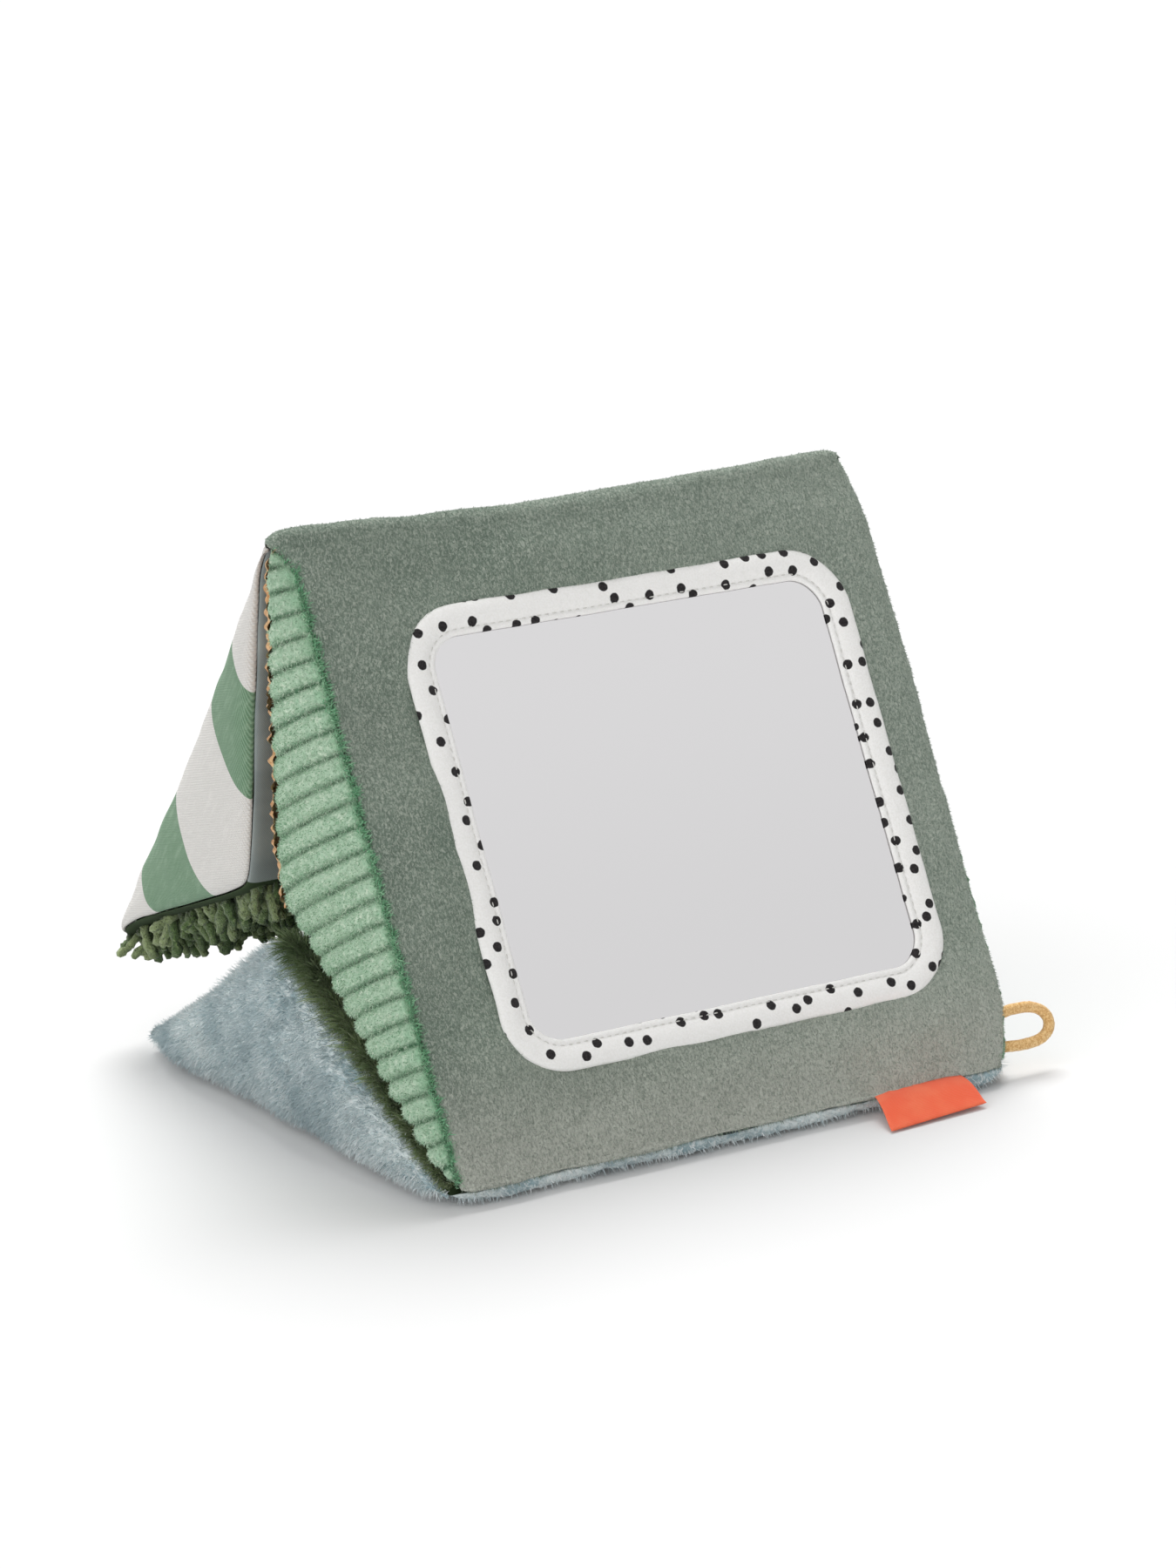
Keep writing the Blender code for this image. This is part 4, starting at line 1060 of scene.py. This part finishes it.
def build_velour(front, back):
    """The velour that runs over the front, the top fold and the back, cut where the wedges turn."""
    path = velour_skin(front, back)
    grid, normal, near = path.grid()
    rows = np.arange(len(grid))
    u = np.array(path.u)[:, None]
    on_front = ((rows > path.marks["front"]) & (rows <= path.marks["apex"]))[:, None]
    under_frame = ease(inside_rectangle(grid[..., 0], u, 0.0), -0.0015, 0.0015) * on_front
    middle = grid[:, grid.shape[1] // 2]
    run = np.cumsum(np.linalg.norm(np.diff(middle, axis=0, prepend=middle[:1]), axis=1))
    from_cut = np.min([np.abs(run - run[mark]) for mark in path.marks.values()], axis=0)
    calm = ease(from_cut, 0.0005, 0.0060)[:, None]
    soft = 0.0011 * field(grid, 26, 6.0) + 0.0003 * calm * field(grid, 190, 1.0)
    amount = (0.0004 + soft) * (1 - under_frame) - 0.0004 * under_frame - 0.0008 * near
    grid = grid + normal * amount[..., None]
    shading = grid_normals(grid, (0, -1, 0.4))
    to_front = np.linalg.inv(np.array(FRONT))

    def into_mirror(at):
        local = at @ to_front[:3, :3].T + to_front[:3, 3]
        return inside_rectangle(local[:, 0], local[:, 1], MIRROR_INSET)

    front_cut, apex_cut, back_cut = (path.marks[mark] for mark in ("front", "apex", "back"))
    parts = (
        ("front_velour_lip", None, np.s_[:front_cut + 1], (0, -1, 0.4), "floor_fold", (0.1, -0.1, -0.4), 35),
        ("front_velour", "front_velour_panel", np.s_[front_cut:apex_cut + 1], (0, -1, 0.4), "front",
         (0.1, -0.1, -0.35), 31),
        ("apex_hinge_fold", "apex_hinge_roll", np.s_[apex_cut:back_cut + 1], (0, 0, 1), "apex_fold",
         (0.1, -0.3, -0.1), 36),
        ("back_outer", "back_outer_panel", np.s_[back_cut:], (0, 1, 1), "back", (0.1, 0.1, -0.35), 41),
    )
    for name, node, kept_rows, toward, body, lean, seed in parts:
        kept = bare = None
        if name == "front_velour":
            kept, bare = (lambda at: into_mirror(at) < 0.0003), (lambda at: into_mirror(at) < -MIRROR_INSET - 0.0002)
        part = grid[kept_rows]
        panel_piece(name, node, part, toward, None, "velour", body, kept=kept, shading=shading[kept_rows])
        pile_piece(
            f"{name}_pile", part, toward, *VELOUR_HAIRS, lean, None, "velour_pile", body, seed, kept=bare)


def build_front(front):
    for sign, side, seed in ((-1, "left", 33), (1, "right", 34)):
        end, normal, from_outer, from_inner = end_panel(front, sign, 271, 62)
        u = end[..., 1]
        kept = 0.10 + 0.35 * ease(u, RIDGE_U - 0.006, RIDGE_U + 0.006)
        tall = RIB_HEIGHT * (0.35 + 0.65 * ease(from_outer, 0.0, 0.0030))
        tall = tall * (kept + (1 - kept) * ease(from_inner, 0.0, 0.0050))
        end = end + normal * (wale(u) * tall - 0.8 * tall + 0.0004 * field(end, 700, 2.0))[..., None]
        panel_piece(f"front_{side}", f"front_{side}_end", end, (sign, 0, 0), FRONT, "corduroy", "front")
        pile_piece(
            f"front_{side}_pile", end, (sign, 0, 0), *CORDUROY_HAIRS, (0, 0.1, 0), FRONT, "corduroy_pile", "front",
            seed, spread=0.6)
        if side == "left":
            tufts_along_seam("front_left_tufts", end, normal)

    far, normal, u, near = inner_panel(front, "far", 200)
    tall = np.minimum(0.45 * RIB_HEIGHT, 0.04 * (PITCH - u))
    far = closed_at_hinge(front, far + normal * (wale(u) * tall - 0.8 * tall)[:, None, None], "far")
    panel_piece("front_under", "front_under_panel", far, (0, 1, 1), FRONT, "corduroy", "front")

    upper, normal, u, near = inner_panel(front, "near", 150)
    nubs = np.array([noise.voronoi(Vector(p))[0][0] for p in upper.reshape(-1, 3) * 290]).reshape(upper.shape[:2])
    upper = closed_at_hinge(
        front, upper + normal * ((0.0026 + 0.0016 * near) * (1 - nubs) - 0.0008)[..., None], "near")
    panel_piece("front_boucle", "front_boucle_panel", upper, (0, -1, 1), FRONT, "boucle", "front")
    stuffing(front, "front_stuffing", "front_foam_core")


def tufts_along_seam(name, end, normal):
    """Brushed hairs where the ribs end at the velour."""
    draw = np.random.default_rng(53)
    row = draw.integers(0, len(end), SEAM_TUFTS)
    column = np.minimum((4 * draw.random(SEAM_TUFTS) ** 2).astype(int), 3)
    chosen = wale(end[row, column, 1]) > 0.45
    row, column = row[chosen], column[chosen]
    at, ways = end[row, column], normal[row, column] + draw.normal(size=(len(row), 3)) * 0.5
    at = at + draw.normal(size=at.shape) * 0.0005
    ways[:, 2] -= 0.5
    lengths = 0.0019 * (0.6 + 0.7 * draw.random(len(row)))
    bends = draw.normal(size=at.shape) * 0.3
    blades_piece(
        name, at, unit(ways), bends, lengths, np.full(len(row), 0.0004), draw, 1, FRONT, "corduroy_tufts", "front")


def build_back(back):
    for sign, side in ((-1, "left"), (1, "right")):
        end, normal, from_outer, from_inner = end_panel(back, sign, 217, 48)
        groove = np.minimum(np.exp(-from_outer / 0.0016) + np.exp(-from_inner / 0.0013), 1)
        wrinkle = field(end * np.array([1, 1.0, 0.5]), 60, 4.0)
        end = end + normal * (0.0005 * wrinkle * (1 - groove) - 0.0006 * groove)[..., None]
        panel_piece(f"back_{side}", f"back_{side}_end", end, (sign, 0, 0), BACK, "stripe", "back")

    far, normal, u, near = inner_panel(back, "far")
    far = closed_at_hinge(back, far + normal * (0.0005 * field(far, 40, 8.0))[..., None], "far")
    panel_piece("back_satin", "back_satin_panel", far, (0, 1, 1), BACK, "satin", "back")
    ground = inner_panel(back, "near")[0]
    panel_piece("back_chenille_ground", "back_chenille_panel", ground, (0, -1, 1), BACK, "chenille_ground", "back")
    chenille(back)
    stuffing(back, "back_stuffing", "back_foam_core")


STRAND_ROWS, STRANDS_ACROSS, STRAND_RADIUS = 32, 54, 0.0016


def chenille(back):
    """Thick fluffy strands over the back wedge's lower inner face, hanging towards the rear and the floor."""
    draw = np.random.default_rng(51)
    row, column = (n.ravel() for n in np.meshgrid(np.arange(STRAND_ROWS), np.arange(STRANDS_ACROSS), indexing="ij"))
    count = len(row)
    share = (row + 0.6 * (draw.random(count) - 0.5)) / (STRAND_ROWS - 1)
    u = 0.0016 + (RIDGE_U - 0.0040) * np.clip(share, 0, 1)
    across = (column + 0.5 * (row % 2) + 0.5 * (draw.random(count) - 0.5)) / STRANDS_ACROSS
    x = (HALF_LENGTH - 0.0025) * np.clip(2 * across - 1, -1, 1)
    root = np.stack([x, u, back.inner(u) - 0.0016], 1)
    up = np.array([0, -math.sin(SLOPE), math.cos(SLOPE)])
    way = np.tile(up, (count, 1)) + draw.normal(size=(count, 3)) * 0.30
    way[:, 0] += 0.10 * np.sign(x) * ease(np.abs(x), HALF_LENGTH - 0.014, HALF_LENGTH + 0.003)
    way[:, 1] -= 0.35 * ease(share, 0.12, 0.0)
    length = (0.0100 - 0.0012 * share) * (0.75 + 0.40 * draw.random(count))
    widths = np.array([0.8, 0.95, 1.0, 1.0, 1.05, 1.0, 1.05, 1.05, 0.85])
    steps, sides = len(widths), 6
    t = np.linspace(0, 1, steps)
    sag = np.array(BACK.to_3x3().transposed() @ Vector((0, 0.25, -1)))
    bend = sag[None] * 0.16 + draw.normal(size=(count, 3)) * 0.32
    path = root[:, None] + unit(way)[:, None] * (length[:, None] * t)[..., None]
    path += bend[:, None] * (length[:, None] * t**2)[..., None]
    radius = STRAND_RADIUS * (0.85 + 0.30 * draw.random(count))
    knobs = 1 + 0.16 * draw.normal(size=(count, steps))
    points, faces = tubes(path, radius[:, None] * widths * knobs, sides, 0.15, draw)
    along = np.tile(np.concatenate([np.repeat(t, sides), [0, 1]]), count)
    tone = np.repeat(draw.random(count), steps * sides + 2)
    new_piece("back_chenille", points, faces, BACK, "chenille", "back", strands=(along, tone))


# ---- trims ----

def rectangle_path(inset, steps):
    """Evenly spaced points round a rounded rectangle inside the mirror frame's edge, with outward directions."""
    turn = np.append([quarter * math.pi / 2 + np.linspace(0, math.pi / 2, 40) for quarter in range(4)], 0.0)
    outs = np.stack([np.cos(turn), np.sin(turn)], 1)
    corner = np.concatenate([np.repeat([(1, 1), (-1, 1), (-1, -1), (1, -1)], 40, axis=0), [(1, 1)]])
    half = np.array([FRAME_WIDTH / 2 - FRAME_CORNER, FRAME_HEIGHT / 2 - FRAME_CORNER])
    dense = np.array([FRAME_X, FRAME_U]) + corner * half + (FRAME_CORNER - inset) * outs
    run = np.concatenate([[0], np.cumsum(np.linalg.norm(np.diff(dense, axis=0), axis=1))])
    at = np.linspace(0, run[-1], steps, endpoint=False)
    place, out = (np.stack([np.interp(at, run, line[:, n]) for n in (0, 1)], 1) for line in (dense, outs))
    return place, unit(out)


BAND = (  # the folded band's section: inset from its outer edge, and height
    (-0.0006, 0.0002), (-0.0010, 0.0009), (-0.0002, 0.0016), (0.0014, 0.0020), (0.0036, 0.0021), (0.0056, 0.0018),
    (0.0068, 0.0013), (STITCH_INSET, 0.0009), (0.0080, 0.0013), (0.0088, 0.0012), (0.0094, 0.0008), (0.0095, 0.0002))
PUCKERS, STITCHES = 200, 196


def mirror_frame():
    """The dotted binding: a folded band, sewn down near its inner edge."""
    steps = 560
    rings = []
    outer, out = rectangle_path(0.0, steps)
    turn = np.arange(steps) / steps * math.tau
    pucker = np.sin(turn * PUCKERS) * 0.00014
    wander = 0.0007 * np.array([noise.noise(Vector((math.cos(a) * 5, math.sin(a) * 5, 2.0))) for a in turn])
    for inset, height in BAND:
        edge = 1.0 if inset < 0.003 else 0.45
        near_stitch = math.exp(-((inset - STITCH_INSET) / 0.0012) ** 2)
        place = outer - out * (inset + wander * edge)[:, None]
        rings.append(np.column_stack([place, -ROLL_RADIUS - height - pucker * near_stitch]))
    at = np.pad(np.arange(steps * len(BAND)).reshape(steps, len(BAND)), ((0, 1), (0, 1)), mode="wrap")
    faces = quads_over(at)[:, [0, 3, 2, 1]]
    new_piece("mirror_frame", np.stack(rings, 1), faces, FRONT, "dotted", "front", "mirror_dotted_frame")
    stitch_row("mirror_frame_stitches", STITCH_INSET, -ROLL_RADIUS - 0.00105)


def stitch_row(name, inset, h):
    place, out = rectangle_path(inset, STITCHES)
    along = np.column_stack([-out[:, 1], out[:, 0], np.zeros(STITCHES)])
    path = np.insert(place, 2, h, 1)[:, None] + along[:, None] * (np.linspace(-0.5, 0.5, 5) * 0.0018)[None, :, None]
    path[:, [0, -1], 2] += 0.00035
    radii = np.tile([0.00013, 0.00020, 0.00022, 0.00020, 0.00013], (STITCHES, 1))
    points, faces = tubes(path, radii, 6, 0.0, np.random.default_rng(2), (0, 0, 1))
    new_piece(name, points, faces, FRONT, "thread", "front")


CORD_RADIUS, CORD_HEIGHT = 0.0019, 0.0022
LOOP_REACH, LOOP_MIDDLE, LOOP_HALF = 0.0204, 0.0115, 0.0055


def elastic_loop():
    """A thick round cord, held at both ends in the right end's lower seam."""
    steps = 60
    turn = math.pi * np.linspace(0, 1, steps)
    reach = 0.0008 + LOOP_REACH * np.sin(turn) ** 0.8
    up = LOOP_MIDDLE + LOOP_HALF * np.cos(turn) + 0.0030 * np.sin(turn) * np.cos(turn)
    path = np.stack([HALF_LENGTH + reach, PITCH - up, np.full(steps, CORD_HEIGHT)], 1)
    radii = np.full((1, steps), CORD_RADIUS)
    points, faces = tubes(path[None], radii, 14, 0.03, np.random.default_rng(1), (0, 0, 1))
    new_piece("elastic_loop_cord", points, faces, FRONT, "cord", "front", "elastic_loop")


TAG_X, TAG_WIDTH, TAG_LENGTH, TAG_THICK = 0.0680, 0.0342, 0.0185, 0.0011
TAG_START_U, TAG_START_H = -0.0026, 0.0004


def tag():
    """The folded woven tag, sewn into the lower front seam, sloping to the floor."""
    s, t = np.meshgrid(np.linspace(0, 1, 15), np.linspace(0, 1, 25), indexing="ij")
    drop = TAG_START_H + HINGE_HEIGHT - 0.0006
    reach = math.sqrt(TAG_LENGTH**2 - drop**2)
    swell = np.sin(math.pi * np.minimum(1.0, s * 1.15)) * 0.0012 + 0.0009 * (t - 0.3) * s
    edge = np.minimum(np.minimum(1.0, 6 * np.minimum(t, 1 - t)), 5 * (1 - s) + 0.25)
    x = TAG_X + (t - 0.5) * TAG_WIDTH - (0.0060 - 0.0050 * t) * s
    u = TAG_START_U - (reach + 0.0030 * (0.5 - t)) * s
    h = TAG_START_H - drop * s + swell + TAG_THICK / 2
    points = np.stack([np.stack([x, u, h + layer * TAG_THICK / 2 * edge], 2) for layer in (1, -1)])
    at = np.arange(s.size).reshape(s.shape)
    quads = quads_over(at)
    rim = np.concatenate([at[0], at[1:, -1], at[-1, -2::-1], at[-2:0:-1, 0]])
    after = np.roll(rim, -1)
    walls = np.stack([rim, after, after + s.size, rim + s.size], 1)
    faces = np.concatenate([quads, quads[:, [0, 3, 2, 1]] + s.size, walls])
    piece = new_piece("orange_side_tag", points, faces, BASE, "tag", "base", "side_tag")
    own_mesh(piece)


def mirror_stack():
    for node, material in (("mirror_sheet", mirror_material()), ("mirror_backing_board", board_material())):
        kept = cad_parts[node].data.materials
        kept.clear()
        kept.append(material)


# ---- the studio ----

FLOOR_REACH, FLOOR_COLOUR, FLOOR_GLOW = 6.0, (0.72, 0.72, 0.72, 1), 0.045
WORLD_LIGHT = 0.40
SUNS = (
    ("sun_back", (0.30, 0.61, 1.0), 34, 3.0),
    ("sun_left", (-1.0, -0.45, 0.75), 80, 1.2),
)
CAMERA_PLACE = Vector((-0.73525, -1.32279, 0.47558))
CAMERA_YAW, CAMERA_PITCH, CAMERA_ROLL = math.radians(29.45), math.radians(14.0), math.radians(-2.79)
CAMERA_LENS = 106.96


def seen_share(tree, *names):
    """1 for these kinds of rays and 0 for all others."""
    seen = tree.add("ShaderNodeLightPath").outputs
    share = seen[names[0]]
    for name in names[1:]:
        share = tree.math("MAXIMUM", share, seen[name])
    return share


def studio_floor():
    side = FLOOR_REACH
    mesh = bpy.data.meshes.new("studio_floor")
    mesh.from_pydata([(-side, -side, 0), (side, -side, 0), (side, side, 0), (-side, side, 0)], [], [(0, 1, 2, 3)])
    floor = bpy.data.objects.new("studio_floor", mesh)
    bpy.context.scene.collection.objects.link(floor)
    paper = bpy.data.materials.new("studio_paper")
    tree = Tree(paper)
    tree.tree.nodes.clear()
    diffuse = tree.add("ShaderNodeBsdfDiffuse", {"Color": FLOOR_COLOUR}).outputs[0]
    strength = tree.math("MULTIPLY", seen_share(tree, "Is Camera Ray", "Is Glossy Ray"), FLOOR_GLOW)
    glow = tree.add("ShaderNodeEmission", {"Strength": strength}).outputs[0]
    both = tree.add("ShaderNodeAddShader", {0: diffuse, 1: glow}).outputs[0]
    tree.add("ShaderNodeOutputMaterial", {"Surface": both})
    mesh.materials.append(paper)


def studio_light():
    world = bpy.data.worlds.new("studio_world")
    bpy.context.scene.world = world
    tree = Tree(world)
    tree.tree.nodes.clear()
    lit, white = (
        tree.add("ShaderNodeBackground", {"Color": (1, 1, 1, 1), "Strength": strength}).outputs[0]
        for strength in (WORLD_LIGHT, 1.0))
    seen = seen_share(tree, "Is Camera Ray", "Is Glossy Ray", "Is Transmission Ray")
    mixed = tree.add("ShaderNodeMixShader", {0: seen, 1: lit, 2: white}).outputs[0]
    tree.add("ShaderNodeOutputWorld", {"Surface": mixed})
    for name, away, width, power in SUNS:
        lamp = bpy.data.lights.new(name, "SUN")
        lamp.angle = math.radians(width)
        lamp.energy = power
        holder = bpy.data.objects.new(name, lamp)
        holder.location = away
        holder.rotation_euler = (-Vector(away)).to_track_quat("-Z", "Y").to_euler()
        holder.visible_glossy = False
        bpy.context.scene.collection.objects.link(holder)
    bpy.context.scene.view_settings.view_transform = "Standard"


def camera():
    flat = math.cos(CAMERA_PITCH)
    ahead = Vector((math.sin(CAMERA_YAW) * flat, math.cos(CAMERA_YAW) * flat, -math.sin(CAMERA_PITCH)))
    right = Vector((math.cos(CAMERA_YAW), -math.sin(CAMERA_YAW), 0))
    above = right.cross(ahead)
    across = math.cos(CAMERA_ROLL) * right + math.sin(CAMERA_ROLL) * above
    above = -math.sin(CAMERA_ROLL) * right + math.cos(CAMERA_ROLL) * above
    data = bpy.data.cameras.new("camera")
    data.lens = CAMERA_LENS
    data.sensor_width = 36
    data.clip_start, data.clip_end = 0.05, 30
    made = bpy.data.objects.new("camera", data)
    turn = Matrix((across, above, -ahead)).transposed().to_4x4()
    made.matrix_world = Matrix.Translation(CAMERA_PLACE) @ turn
    bpy.context.scene.collection.objects.link(made)
    bpy.context.scene.camera = made


camera()
studio_floor()
studio_light()
base_side = Side(-0.0022, (-0.0015, 0.0010), 0.014, 0.0090, 0.0030, (-0.0012, -0.0012), 0.0076)
back_side = Side(-0.0035, (-0.0040, 0.0020), 0.026, 0.0030, 0.0008, (0.0030, 0.0030), 0.0058)
front_low = Side(-0.0043, (0.0020, -0.0052), 0.013, 0.0030, 0.0008, (0.0040, -0.0012), 0.0046)
front_high = Side(0.0053, (0.0000, -0.0026), 0.027, 0.0080, 0.0044, (-0.0006, -0.0012), -0.0022)
base_wedge = Base("base", BASE, (PITCH,), base_side, base_side, (0.0, 0.0020, 0.0016), INNER_SUNK, 1.1, 0.0026)
front_wedge = Wedge(
    "front", FRONT, (), front_low, front_high, (0.0016, 0.0012, 0.0006), 0.0046, 1.9, 0.0036, mirror=True)
back_wedge = Wedge("back", BACK, (0,), back_side, back_side, (0.0032, 0.0020, 0.0012), INNER_SUNK, 1.1, 0.0044)
build_base(base_wedge)
build_velour(front_wedge, back_wedge)
build_front(front_wedge)
build_back(back_wedge)
mirror_frame()
elastic_loop()
tag()
mirror_stack()
